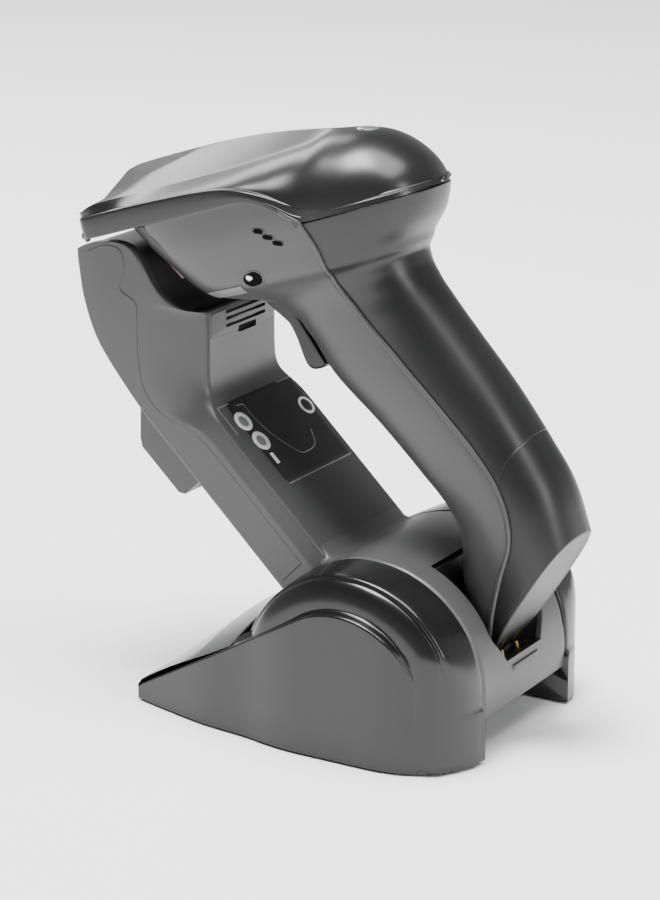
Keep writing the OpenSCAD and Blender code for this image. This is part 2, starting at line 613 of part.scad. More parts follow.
module engine_chassis() color([0.35, 0.36, 0.38]) in_scanner() difference() {
    block([-15, -18, 158], [15, 0, 178]);
    translate([0, -8, 168]) rotate([90, 0, 0]) cylinder(r = 5.05, h = 20);
    for (x = [-10.5, 10.5]) translate([x, -12, 168]) rotate([90, 0, 0]) cylinder(r = 2.55, h = 20);
    translate([0, -12, 161]) rotate([90, 0, 0]) cylinder(r = 1.55, h = 20);
}
module engine_lens() color([0.05, 0.05, 0.06]) in_scanner() translate([0, -8, 168]) rotate([90, 0,
    0]) difference() {
    cylinder(r = 5, h = 13);
    translate([0, 0, 11]) cylinder(r = 3.4, h = 4);
}
module aiming_lens() color([0.2, 0.5, 0.3]) in_scanner() translate([0, -12, 161]) rotate([90, 0,
    0]) cylinder(r = 1.5, h = 7.5);
module led_pair() color([0.9, 0.9, 0.85]) in_scanner() for (x = [-10.5, 10.5]) translate([x, -12,
    168]) rotate([90, 0, 0]) cylinder(r = 2.5, h = 7.5);
module engine_board() color([0.08, 0.3, 0.16]) in_scanner() block([-16, 0.1, 156], [16, 1.7, 179]);
module main_board() color([0.08, 0.32, 0.17]) in_scanner() block([-20, 3, 168.9], [20, 46, 170.5]);

// Frame along the grip's centre line, up from the cell's foot.
cell_at = [55.8, 64];
cell_lean = 25.2;
module along_grip() translate([0, cell_at.x, cell_at.y]) rotate([cell_lean, 0, 0]) children();
module battery_cell() color([0.2, 0.35, 0.6]) in_scanner() along_grip() {
    cylinder(r = cell_r, h = cell_l);
    translate([0, 0, cell_l]) cylinder(r = 3.2, h = 1.2);
}
module battery_contacts() color([0.8, 0.65, 0.35]) in_scanner() along_grip() {
    block([-5, -5, cell_l + 1.3], [5, 5, cell_l + 1.9]);
    block([-5, -5, -0.8], [5, 5, -0.1]);
}
module handle_board() color([0.08, 0.3, 0.16]) in_scanner() along_grip() block([-9, -11.6, 14],
    [9, -10, 54]);
module charge_pads() color([0.85, 0.7, 0.35]) in_scanner() in_sole() for (x = pad_x)
    block([x - 1.5, 0.9, 0.05], [x + 1.5, 5.1, 0.95]);
module cap_screw() color("silver") in_scanner() in_sole() translate([0, cap_screw_y, 0]) difference() {
    translate([0, 0, 0.4]) cylinder(r = 2.2, h = 1.1);
    translate([0, 0, 0.3]) for (a = [0, 90]) rotate(a) block([-1.3, -0.3, 0], [1.3, 0.3, 0.7]);
}
module shell_screws() color("silver") in_scanner() for (s = [-1, 1]) translate([s*24, 1.4,
    154.6]) rotate([0, s*55, 0])
    translate([0, 0, -4.4]) difference() {
        cylinder(r = 2.3, h = 1.6);
        translate([0, 0, 1]) for (a = [0, 90]) rotate(a) block([-1.4, -0.3, 0], [1.4, 0.3, 1]);
    }
module label_plate(g = 0) translate([13.8, -11.5, 147.9]) rotate([-14, -11, 0]) block([-5.2 - g,
    -5.5 - g, -0.5], [5.2 + g, 5.5 + g, 0.1 + g]);
module blank_label() color([0.75, 0.75, 0.76]) in_scanner() label_plate();

base_frame();
base_plate();
base_screws();
rubber_feet();
ballast_plate();
pivot_pins();
friction_washers();
cradle_body();
cradle_face();
vent_panel();
side_panel_left();
side_panel_right();
pocket_liner();
face_film();
indicator_rings();
page_button();
page_switch();
connector_cover();
data_jack();
power_jack();
cradle_board();
contact_block();
charge_pins();
cradle_screws();
top_shell();
front_shell();
rear_shell();
battery_cap();
window_bezel();
scan_window();
trigger();
trigger_pin();
trigger_switch();
good_read_lamp();
beeper();
engine_chassis();
engine_lens();
aiming_lens();
led_pair();
engine_board();
main_board();
handle_board();
battery_cell();
battery_contacts();
charge_pads();
cap_screw();
shell_screws();
blank_label();
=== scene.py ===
"""A cordless handheld barcode scanner standing in its tilting desk cradle.

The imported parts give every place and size. This script lays smooth skins over the moulded
parts, gives every part a procedural finish, and lights the result on a pale studio floor.
"""

import bpy
import numpy as np
from bpy.props import FloatProperty, PointerProperty, FloatVectorProperty
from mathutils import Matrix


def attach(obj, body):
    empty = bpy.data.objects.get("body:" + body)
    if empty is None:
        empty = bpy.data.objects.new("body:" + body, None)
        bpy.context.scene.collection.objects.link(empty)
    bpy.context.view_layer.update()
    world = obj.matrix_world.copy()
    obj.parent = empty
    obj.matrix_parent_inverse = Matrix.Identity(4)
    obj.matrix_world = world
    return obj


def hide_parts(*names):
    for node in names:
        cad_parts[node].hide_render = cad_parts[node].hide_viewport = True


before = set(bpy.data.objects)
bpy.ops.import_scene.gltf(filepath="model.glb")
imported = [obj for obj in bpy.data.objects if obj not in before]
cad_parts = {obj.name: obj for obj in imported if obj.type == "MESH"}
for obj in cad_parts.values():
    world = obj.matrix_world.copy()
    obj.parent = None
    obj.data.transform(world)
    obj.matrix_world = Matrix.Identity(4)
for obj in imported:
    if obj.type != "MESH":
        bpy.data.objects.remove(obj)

bl_info = {
    "name": "Barcode Scanner and Cradle",
    "version": (1, 0, 0),
    "blender": (4, 5, 0),
    "location": "View3D > Sidebar > Scanner",
    "description": "Skins, finishes and studio for a handheld barcode scanner in its cradle",
    "category": "Object",
}

MM = 0.001
AXIS_Z = 21.0
LEAN = np.radians(18.0)
ARM_LEAN = np.radians(44.0)
WINDOW_LEAN = np.radians(122.5)
SOLE_AT = (40.0, 17.6)
SOLE_SLOPE = np.radians(40.3)

# Level slices of the grip and the lower head, in millimetres in the scanner's own frame:
# height, front, widest, back, half width, front roundness, back roundness
GRIP = np.array([
    [12, 40, 43, 54, 8, 2.2, 2.2], [14, 39, 44, 58, 9, 2.2, 2.2], [20, 36, 50, 68, 12, 2.3, 2.4],
    [28, 34.4, 55, 76, 15, 2.4, 2.6], [40, 34.2, 57, 77.8, 16.6, 2.4, 2.8],
    [50, 36.6, 58.5, 78.1, 17.1, 2.4, 2.8], [58, 38.6, 59, 78.1, 17.3, 2.4, 2.7],
    [68, 36.5, 57, 77.3, 17.4, 2.4, 2.6], [80, 30.2, 52.5, 73.9, 17.4, 2.4, 2.5],
    [98, 20, 44.5, 67.7, 17.4, 2.4, 2.5], [119, 7, 33, 58.6, 17.4, 2.4, 2.5],
    [132, 2.5, 28, 52.7, 17.8, 2.4, 2.5], [140, -2, 25, 49.3, 18.6, 2.5, 2.5],
    [146, -10, 22, 47.9, 20.6, 2.8, 2.4], [149.5, -22, 18, 48, 23.2, 3.2, 2.3],
    [152.4, -27, 15.6, 50, 26, 3.7, 2.3], [154, -28.4, 14.8, 50.8, 26.9, 3.9, 2.3],
    [160, -32, 13, 57, 28.8, 4.4, 2.3], [166.6, -35.8, 12.2, 60.6, 30.7, 4.7, 2.3],
    [168.4, -37, 12, 61.2, 31.1, 4.8, 2.3], [180.4, -45, 12, 60, 31.8, 5, 2.3]])
# Seam between the light front shell and the dark rear shell: height, station
SPLIT = np.array([[4, 36], [17, 38.4], [28, 44.6], [44, 54.6], [54, 61], [64, 62.8], [73, 61.6],
                  [83, 58], [97, 51], [118, 39.5], [138, 29.6], [147, 26.9], [158, 27.4],
                  [169, 25.6], [172, 25]])
# Seam above the battery cap: station, height
CAP_SEAM = np.array([[55, 62], [62, 70.5], [65.5, 77], [70, 82.5], [76, 86.4], [100, 92]])
# Seam under the hood: station, height
SEAM = np.array([[-60, 180], [4, 180], [9, 179.7], [14, 178.2], [19, 174.8], [23, 171],
                 [27, 168.6], [70, 168.6]])
# Edge of the nose bezel: height, station
NOSE = np.array([[130, -10], [146, -18], [158, -24], [167, -27], [173.4, -29.6], [177, -33],
                 [186, -33.5]])
# Cross slices of the hood: station, lower edge, shoulder, crease x, crease height, ridge,
# half width, roundness of the flank
HOOD = np.array([
    [-53, 180.3, 187.4, 34.0, 189.0, 198.2, 34.9, 1.0], [-50, 180, 187.6, 33.6, 190.4, 199, 35.2, 1.02],
    [-44, 180, 187.6, 31.9, 190.9, 199.2, 35.4, 1.05], [-32, 180, 187.5, 27.4, 190.5, 199.3, 35.7, 1.08],
    [-20, 180, 187.2, 22.9, 190.3, 199.3, 35.8, 1.12], [-10, 180, 186.8, 19.1, 190.2, 199, 35.7, 1.2],
    [0, 180, 186, 15.4, 190.3, 198.4, 35.4, 1.3], [9, 179.7, 184, 12.1, 190.7, 197.5, 34.8, 1.45],
    [14, 178.2, 181.8, 10.2, 190.9, 196.8, 34, 1.55], [19, 174.8, 179, 8.3, 191.2, 196, 32.8, 1.7],
    [23, 171, 176, 6.8, 191.4, 195.3, 31.4, 1.85], [27, 168.6, 173.4, 5.3, 191.6, 194.5, 30.1, 1.95],
    [32, 168.6, 171.2, 3.2, 192, 193.5, 29.2, 2.05], [37, 168.6, 170, 1.6, 191.9, 192.3, 28, 2.1],
    [46, 168.6, 169.4, 0.8, 189.3, 189.5, 24.3, 2.15], [54, 168.6, 169.1, 0.5, 182.9, 183.1, 18.5, 2.1],
    [58, 168.6, 168.9, 0.3, 177.9, 178, 13.3, 2.05], [60.8, 168.6, 168.7, 0.1, 171.7, 171.8, 5.5, 2]])


# ---------------------------------------------------------------- curves and grids

def smooth(xs, ys, q):
    """Curve through table points. Each piece is a cubic, and the slope at a point is the mean of
    its neighbours' slopes, limited to three times the lower one, so it never overshoots."""
    xs = np.asarray(xs, float)
    ys = np.asarray(ys, float).reshape(len(xs), -1)
    q = np.asarray(q, float)
    h = np.diff(xs)[:, None]
    d = np.diff(ys, axis=0) / h
    m = (d[:-1] * h[1:] + d[1:] * h[:-1]) / (h[:-1] + h[1:])
    top = 3 * np.minimum(abs(d[:-1]), abs(d[1:]))
    m = np.where(d[:-1] * d[1:] > 0, np.clip(m, -top, top), 0)
    m = np.concatenate([d[:1], m, d[-1:]])
    k = np.clip(np.searchsorted(xs, q.ravel(), side="right") - 1, 0, len(xs) - 2)
    t = np.clip((q.ravel() - xs[k]) / h[k, 0], 0, 1)[:, None]
    out = ((1 + 2 * t) * (1 - t) ** 2 * ys[k] + t * (1 - t) ** 2 * h[k] * m[k]
           + t * t * (3 - 2 * t) * ys[k + 1] + t * t * (t - 1) * h[k] * m[k + 1])
    return out.reshape(q.shape + (-1,)) if ys.shape[1] > 1 else out.reshape(q.shape)


def ease(lo, hi, x):
    """Smooth step from 0 at lo to 1 at hi."""
    t = np.clip((np.asarray(x, float) - lo) / (hi - lo), 0, 1)
    return t * t * (3 - 2 * t)


def low_of(a, b, k):
    """The lower of a and b, with the corner between them rounded over a width k."""
    h = np.clip(0.5 + 0.5 * (b - a) / k, 0, 1)
    return b + (a - b) * h - k * h * (1 - h)


def power(v, e):
    """Signed power: the size of v raised to e, with v's sign."""
    return np.sign(v) * np.abs(v) ** e


def from_scanner(x, u, w):
    """Points from the scanner's own frame: turned about X by its docked lean."""
    x, u, w = np.broadcast_arrays(x, u, w)
    return np.stack([x, u * np.cos(LEAN) - w * np.sin(LEAN), u * np.sin(LEAN) + w * np.cos(LEAN)], -1)


def from_arm(x, a, n):
    """Points from the arm's frame: a runs down the arm from its head and n out of its face."""
    x, a, n = np.broadcast_arrays(x, a, n)
    c, s = np.cos(ARM_LEAN), np.sin(ARM_LEAN)
    return np.stack([x, a * c + n * s, AXIS_Z - a * s + n * c], -1)


def facing(grid):
    """Unit directions square to a grid of points: its step along rows crossed with its step along columns."""
    n = np.cross(np.gradient(grid, axis=0), np.gradient(grid, axis=1))
    return n / np.maximum(np.linalg.norm(n, axis=-1, keepdims=True), 1e-12)


def rolled(grid, sides, r=0.35, depth=0.5, close=False):
    """Adds a rolled rim on the named sides (0, 1: first and last row; 2, 3: first and last column).
    Past the edge the rim follows a quarter circle of radius r, then drops straight by depth."""
    for side in sides:
        g = grid if side < 2 else np.swapaxes(grid, 0, 1)
        n = facing(g) * (1 if side < 2 else -1)
        if close:
            ends = g[:, -2:-1], g[:, 1:2]
            n = facing(np.concatenate([ends[0], g, ends[1]], 1))[:, 1:-1]
        g = g if side % 2 else g[::-1]
        n = n if side % 2 else n[::-1]
        out = g[-1] - g[-2]
        out = out - (out * n[-1]).sum(-1, keepdims=True) * n[-1]
        out = out / np.maximum(np.linalg.norm(out, axis=-1, keepdims=True), 1e-9)
        turn = np.radians([22, 45, 68, 90])[:, None, None]
        arc = g[-1] + out * r * np.sin(turn) - n[-1] * r * (1 - np.cos(turn))
        drop = arc[-1:] - n[-1] * depth
        g = np.concatenate([g[:-1], g[-1:] - out * 0.1, g[-1:], arc, drop])
        g = g if side % 2 else g[::-1]
        grid = g if side < 2 else np.swapaxes(g, 0, 1)
    return grid


def both_halves(half):
    """A grid from its right half, whose first column lies on the middle plane."""
    left = half[:, :0:-1] * np.array([-1, 1, 1])
    return np.concatenate([left, half], 1)


def mirrored(grid):
    """The same grid on the other side of the middle plane, turned to keep facing outwards."""
    return grid[:, ::-1] * np.array([-1, 1, 1])


def quads(rows, cols, start):
    """Corner numbers of the faces of a grid whose first point has number start."""
    i, j = np.arange(rows - 1)[:, None] * cols, np.arange(cols - 1)[None]
    a = start + i + j
    return np.stack([a, a + cols, a + cols + 1, a + 1], -1).reshape(-1, 4)


def outwards(grid, inside):
    """The grid with its faces turned away from an inner point: the sum over faces of their area
    direction times the way from that point is made positive."""
    across = np.cross(grid[1:, 1:] - grid[:-1, :-1], grid[:-1, 1:] - grid[1:, :-1])
    away = (grid[1:, 1:] + grid[:-1, :-1]) / 2 - inside
    return grid if (across * away).sum() >= 0 else grid[:, ::-1]


def build(name, grids, cage=0, wall=0.0, inside=None):
    """One mesh from grids of points in millimetres. Points that meet are welded, so closed loops
    and poles join. cage is the number of subdivisions of a control cage, wall a thickness inwards."""
    if inside is None:
        inside = np.concatenate([g.reshape(-1, 3) for g in grids]).mean(0)
    grids = [outwards(g, np.asarray(inside, float)) for g in grids]
    points = np.concatenate([g.reshape(-1, 3) for g in grids])
    starts = np.cumsum([0] + [g.shape[0] * g.shape[1] for g in grids[:-1]])
    faces = np.concatenate([quads(g.shape[0], g.shape[1], s) for g, s in zip(grids, starts)])
    keys = np.round(points * 500).astype(np.int64)
    _, first, back = np.unique(keys, axis=0, return_index=True, return_inverse=True)
    faces = back.reshape(-1)[faces]
    same = faces == np.roll(faces, -1, axis=1)
    whole = faces[same.sum(1) == 0]
    whole = whole[(whole[:, 0] != whole[:, 2]) & (whole[:, 1] != whole[:, 3])]
    single = same.sum(1) == 1
    part, twin = faces[single], np.argmax(same[single], axis=1)
    pick = (twin[:, None] + np.array([0, 2, 3])) % 4
    part = np.take_along_axis(part, pick, axis=1)
    part = part[(part[:, 0] != part[:, 1]) & (part[:, 1] != part[:, 2]) & (part[:, 0] != part[:, 2])]
    mesh = bpy.data.meshes.new(name)
    mesh.from_pydata((points[first] * MM).tolist(), [], whole.tolist() + part.tolist())
    mesh.polygons.foreach_set("use_smooth", np.ones(len(mesh.polygons), bool))
    mesh.validate()
    obj = bpy.data.objects.new(name, mesh)
    bpy.context.scene.collection.objects.link(obj)
    if cage:
        mod = obj.modifiers.new("Smooth", "SUBSURF")
        mod.levels = mod.render_levels = cage
        mod.boundary_smooth = "PRESERVE_CORNERS"
    if wall:
        mod = obj.modifiers.new("Wall", "SOLIDIFY")
        mod.thickness = wall * MM
        mod.offset = -1
    return obj


def place(obj, body, finish, slot, *nodes):
    """Gives a piece its finish, its body and the parts that it stands for. The slot argument is not used."""
    obj.data.materials.append(bpy.data.materials[finish])
    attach(obj, body)
    if nodes:
        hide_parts(*nodes)
    return obj


# ---------------------------------------------------------------- scanner skins

def slice_at(w):
    """Rows of the grip table at any heights."""
    return smooth(GRIP[:, 0], GRIP[:, 1:], w)


def skin(w, t):
    """Skin of the grip: at height w the slice is a rounded oval. Its x is the half width times
    cos t and its u runs from the widest station to the back or front times sin t, both raised
    to 2 over the roundness."""
    g = slice_at(w)
    s, c = np.sin(t), np.cos(t)
    p = np.where(s > 0, g[..., 5], g[..., 4])
    reach = np.where(s > 0, g[..., 2] - g[..., 1], g[..., 1] - g[..., 0])
    return np.stack([g[..., 3] * power(c, 2 / p), g[..., 1] + reach * power(s, 2 / p), w], -1)


def angle_at(w, u):
    """The angle on the right side where the slice at height w has station u."""
    g = slice_at(w)
    back = u > g[..., 1]
    share = np.where(back, (u - g[..., 1]) / (g[..., 2] - g[..., 1]),
        (g[..., 1] - u) / (g[..., 1] - g[..., 0]))
    half = np.where(back, g[..., 5], g[..., 4]) / 2
    return np.where(back, 1, -1) * np.arcsin(np.clip(share, 0, 1) ** half)


def crossing(height, angle, lo, hi):
    """Height at which the skin meets a line, by halving the span between lo and hi 30 times.
    height gives the line's height at a station, and angle the column's angle at a height."""
    lo, hi = np.broadcast_arrays(np.asarray(lo, float), hi)
    lo, hi = lo.copy(), hi.copy()
    for _ in range(30):
        mid = (lo + hi) / 2
        above = mid > height(skin(mid, angle(mid))[..., 1])
        lo, hi = np.where(above, lo, mid), np.where(above, mid, hi)
    return (lo + hi) / 2


def seam_height(u):
    """Height of the parting line under the hood, at station u."""
    return smooth(SEAM[:, 0], SEAM[:, 1], u) - 0.2


def sole_height(u):
    """Height of the slanting sole of the grip, at station u."""
    return SOLE_AT[1] + (u - SOLE_AT[0]) * np.tan(SOLE_SLOPE)


def cap_height(u):
    """Height of the seam above the battery cap, at station u."""
    return smooth(CAP_SEAM[:, 0], CAP_SEAM[:, 1], u)


def split_station(w):
    """Station of the split between the front and rear shells, at height w."""
    return smooth(SPLIT[:, 0], SPLIT[:, 1], w)


def nose_station(w):
    """Station of the nose's front, at height w."""
    return np.interp(w, NOSE[:, 0], NOSE[:, 1])


SEAM_GAP = 0.42  # from a seam's middle line to where a rolled rim starts


def front_skin():
    """Front shell: columns run from the split line round to the middle of the front, or to the
    edge of the nose bezel where that comes first; rows run from the sole to the seam."""
    cols = ease(0, 1, np.linspace(0, 1, 60)) * 0.5 + np.linspace(0, 1, 60) * 0.5

    def angle(w):
        start = angle_at(w, split_station(w) - SEAM_GAP)
        nose = angle_at(w, np.maximum(nose_station(w) + SEAM_GAP, slice_at(w)[..., 0]))
        end = np.where(w > 143, nose, -np.pi / 2)
        return start + (end - start) * cols
    ones = np.ones(len(cols))
    low = crossing(sole_height, angle, 12 * ones, 40 * ones)
    top = crossing(lambda u: seam_height(u) - SEAM_GAP, angle, 150 * ones, 182 * ones)
    s = np.linspace(0, 1, 260)[:, None]
    s = np.where(s < 0.35, s * 0.25 / 0.35, 0.25 + (s - 0.35) * 0.75 / 0.65)
    grid = skin(low + (top - low) * s, angle(low + (top - low) * s))
    grid[..., 0] = np.where(np.isclose(grid[..., 0], 0, atol=0.02), 0, grid[..., 0])
    half = grid[:, ::-1]
    return half, mirrored(half)


def front_shell():
    """Front shell: the front skin between the sole and the hood's seam, given a wall."""
    right, left = front_skin()
    to_row = [from_scanner(g[..., 0], g[..., 1], g[..., 2]) for g in (right, left)]
    sides = [rolled(to_row[0], [3, 1]), rolled(to_row[1], [2, 1])]
    return build("front_shell_skin", sides, wall=1.4)


def rear_skin(low_line, high_line, lo, hi, rows, sides):
    """Rear part of the skin between the split lines, from one seam line up to another."""
    cols = np.linspace(0, 1, 120)

    def angle(w):
        start = angle_at(w, split_station(w) + SEAM_GAP)
        return start + (np.pi - 2 * start) * cols
    ones = np.ones(len(cols))
    low = crossing(low_line, angle, lo[0] * ones, lo[1] * ones)
    top = crossing(high_line, angle, hi[0] * ones, hi[1] * ones)
    w = low + (top - low) * np.linspace(0, 1, rows)[:, None]
    g = skin(w, angle(w))[:, ::-1]
    return rolled(from_scanner(g[..., 0], g[..., 1], g[..., 2]), sides)


def rear_shell():
    """Rear shell: the rear skin between the cap's seam and the hood's seam, given a wall."""
    grid = rear_skin(lambda u: cap_height(u) + SEAM_GAP, lambda u: seam_height(u) - SEAM_GAP,
                     (50, 110), (150, 182), 190, [0, 1, 2, 3])
    return build("rear_shell_skin", [grid], wall=1.4)


def battery_cap():
    """Battery cap: the rear skin below its seam, and the slanting sole as rings that shrink to a
    point, in the plane of the sole."""
    grid = rear_skin(lambda u: sole_height(u) + 0.5, lambda u: cap_height(u) - SEAM_GAP,
                     (12, 60), (55, 110), 110, [1, 2, 3])
    t = np.linspace(0, 2 * np.pi, 121)
    low = crossing(sole_height, lambda w: t, 12 * np.ones(121), 60 * np.ones(121))
    edge = skin(low + 0.5, t)
    middle = np.array([0, 57.0, sole_height(57.0)])
    into = np.array([0, -np.sin(SOLE_SLOPE), np.cos(SOLE_SLOPE)])
    rings = []
    for share, lift in ((1.0, 0.55), (0.992, 0.22), (0.975, 0.05), (0.95, 0.0), (0.93, 0.0), (0.915, 0.12),
                        (0.9, 0.14), (0.5, 0.14), (0.0, 0.14)):
        flat = edge.copy()
        flat[:, 2] = sole_height(flat[:, 1])
        rings.append(middle + (flat - middle) * share + into * lift)
    g = np.stack(rings)
    sole = from_scanner(g[..., 0], g[..., 1], g[..., 2])
    return build("battery_cap_skin", [grid, sole], wall=0)


def nose_front(x, w):
    """Station of the nose's front at x and w, from the oval slice."""
    g = slice_at(w)
    p = g[..., 4]
    return g[..., 1] - (g[..., 1] - g[..., 0]) * (1 - np.clip(abs(x) / g[..., 3], 0, 1) ** p) ** (1 / p)


def nose_bezel():
    """Nose bezel: rings between the edge of the nose and a rounded window frame. Each ring mixes
    the two outlines in x and height, lies on the nose's skin, then turns in to the glass."""
    n = 160
    side = np.linspace(149.0, 179.6, 44)
    ang = angle_at(side, nose_station(side))
    edge = skin(side, ang)
    foot = edge[0]
    bottom_x = np.linspace(foot[0], -foot[0], 40)[1:-1]
    bottom = np.stack([bottom_x, np.zeros(38), foot[2] - 1.4 * (1 - (bottom_x / foot[0]) ** 2)], -1)
    top_x = np.linspace(-edge[-1, 0], edge[-1, 0], 42)[1:-1]
    top = np.stack([top_x, np.zeros(40), np.full(40, 179.6)], -1)
    outer = np.concatenate([edge[::-1], bottom, edge * np.array([-1, 1, 1]), top])
    run = np.concatenate([[0], np.cumsum(np.linalg.norm(np.diff(outer[:, ::2], axis=0), axis=1))])
    at = np.linspace(0, run[-1], n)
    ox, ow = np.interp(at, run, outer[:, 0]), np.interp(at, run, outer[:, 2])
    theta = np.arctan2((ow - 166.5) / 13.5, ox / 27)
    ix = 20.6 * power(np.cos(theta), 0.32)
    iw = 166.3 + 8.1 * power(np.sin(theta), 0.32)
    rings = []
    for share in np.linspace(0, 1, 26):
        x, w = ox + (ix - ox) * share, ow + (iw - ow) * share
        rings.append(np.stack([x, nose_front(x, w), w], -1))
    g = np.stack(rings)
    out = np.array([0, -np.sin(WINDOW_LEAN), np.cos(WINDOW_LEAN)])
    for scale, sink in ((0.985, 0.25), (0.975, 0.7), (0.972, 2.2), (0.9, 2.25)):
        ring = g[25].copy()
        ring[:, 0] = ring[:, 0] * scale
        ring[:, 2] = 166.3 + (ring[:, 2] - 166.3) * scale
        g = np.concatenate([g, (ring - out * sink)[None]])
    skirt = g[0] + np.array([0, 1.0, 0])
    g = np.concatenate([skirt[None], g])
    g = np.concatenate([g, g[:, :1]], 1)
    return build("nose_bezel_skin", [from_scanner(g[..., 0], g[..., 1], g[..., 2])[::-1]])


def hood_rows(u):
    """The hood's table, read between its stations."""
    return smooth(HOOD[:, 0], HOOD[:, 1:], u)


def hood_cage():
    """Control cage of the hood's right half. Stations run back from the nose. Columns run from
    the ridge over a front facet, a slanting facet and a crease, down the flank to a proud rim."""
    u = np.array([-52.6, -51.5, -49, -44, -38, -32, -27, -23, -20, -17, -13, -7, 0, 5, 9, 12, 15, 18, 21,
                  24, 27, 30, 33.5, 37, 41, 45, 49, 52.5, 55.5, 58, 59.8, 60.9])
    low, sh, xc, wc, ridge, half, e = np.moveaxis(hood_rows(u), -1, 0)
    xc = np.maximum(xc, 0.24 * half * ease(20, 34, u))
    xs = np.clip(30 * (-19 - u) / 33, 0, 30)
    ws = ridge - 0.262 * xs
    xs, ws = np.where(xs > 3, xs, 0.35 * xc), np.where(xs > 3, ws, ridge + (wc - ridge) * 0.35)
    xs = np.minimum(xs, 0.6 * xc)

    def facet(x):
        return np.where(x < xs, ridge + (ws - ridge) * x / np.maximum(xs, 0.01),
                        ws + (wc - ws) * (x - xs) / np.maximum(xc - xs, 0.01))
    step = ease(30, 12, u)
    inner = half - 1.5 * step
    plain = ease(22, 37, u)

    def dome_height(x):
        return sh + (ridge - sh) * (1 - np.clip(x / inner, 0, 1) ** e) ** (1 / e)
    tight = np.minimum(1, xc / 6)
    cols = []
    for x in (0 * xc, 0.8 * tight, (xs - 0.5 * tight) * 0.5 + 0.4 * tight, xs - 0.5 * tight, xs + 0.5 * tight,
              (xs + xc) / 2, xc - 0.6 * tight):
        cols.append(np.stack([x, u, facet(x) + (dome_height(x) - facet(x)) * plain], -1))
    for t in (0.03, 0.14, 0.3, 0.5, 0.7, 0.86, 0.96):
        f = np.radians(90 * t)
        x = xc + (inner - xc) * np.sin(f) ** (2 / e)
        w = sh + (wc - sh) * np.cos(f) ** (2 / e)
        cols.append(np.stack([x, u, w + (dome_height(x) - w) * plain], -1))
    rim = sh - low
    for dx, dw in ((0.0, 0.0), (0.9 * step, -0.1), (1.5 * step, -0.5), (1.6 * step, -1.6)):
        cols.append(np.stack([inner + dx, u, sh + dw * np.minimum(1, rim / 3)], -1))
    for dx, share in ((0.25, 0.5), (0.1, 0.12), (0.0, 0.04)):
        cols.append(np.stack([inner + (1.5 + dx) * step, u, low + rim * share], -1))
    cols.append(np.stack([inner + 1.3 * step, u, low], -1))
    cols.append(np.stack([half - 0.9, u, low + 0.02], -1))
    cols.append(np.stack([half - 2.2, u, low + 2.0], -1))
    return np.stack(cols, 1)


def hood():
    """Hood: the cage above, closed at the nose by a rounded front wall that shrinks to a line."""
    cage = hood_cage()
    nose = []
    middle = 187.5
    for share, back in ((0.93, 0.9), (0.97, 0.25)):
        ring = cage[0].copy()
        ring[:, 0] *= share
        ring[:, 2] = middle + (ring[:, 2] - middle) * (share + 0.01)
        ring[:, 1] = -54.9 + back
        nose.append(ring)
    ring = cage[0].copy()
    ring[:, 0] *= 0.9
    ring[:, 2] = middle + (ring[:, 2] - middle) * 0.86
    ring[:, 1] = -54.9
    foot, lid = ring.copy(), ring.copy()
    foot[:, 1:] = (-54.6, 182.0)
    lid[:, 1:] = (-42.0, 181.6)
    cage = np.concatenate([lid[None], foot[None], ring[None], nose[0][None], nose[1][None], cage])
    tail = cage[-1].copy()
    tail[:, 0] *= 0.02
    tail[:, 1] = 61.25
    tail[:, 2] = 168.6 + (tail[:, 2] - 168.6) * 0.15
    cage = np.concatenate([cage, tail[None]])
    full = both_halves(cage)
    return build("hood_skin", [from_scanner(full[..., 0], full[..., 1], full[..., 2])], cage=2, wall=1.6)


def trigger():
    """Trigger: its curved side outline swept across, bulged in the middle and rounded at the sides."""
    outline = np.array([[-11, 153], [-12.2, 149], [-10.4, 146.2], [-6.6, 142.8], [-3.7, 138], [-2.1, 132],
                        [-1.5, 126], [-1.4, 122], [-0.6, 120.2], [0.8, 119.4], [3, 119.3], [5.2, 119.7],
                        [6, 121], [3.6, 128], [1.6, 134], [-0.6, 141], [-2.6, 148], [-3, 153], [-7, 155.6]])
    middle = outline.mean(0)
    rows = []
    for x, shrink in ((-7, 0), (-7, 0.82), (-6.7, 0.95), (-5.9, 1), (-3, 1), (0, 1), (3, 1), (5.9, 1),
                      (6.7, 0.95), (7, 0.82), (7, 0)):
        line = middle + (outline - middle) * np.array([0.55 + 0.45 * shrink, shrink]) * (shrink > 0)
        line[:, 0] -= 0.5 * (1 - (x / 7) ** 2) * (line[:, 0] < 2)
        rows.append(np.stack([np.full(len(line), x), line[:, 0], line[:, 1]], -1))
    g = np.stack(rows)
    g = np.concatenate([g, g[:, :1]], 1)
    return build("trigger_blade", [from_scanner(g[..., 0], g[..., 1], g[..., 2])[::-1]], cage=2)


# ---------------------------------------------------------------- cradle skins

def arm_yz(a, n):
    """Points given along and across the arm, turned into depth and height."""
    p = from_arm(0.0, a, n)
    return p[..., 1], p[..., 2]


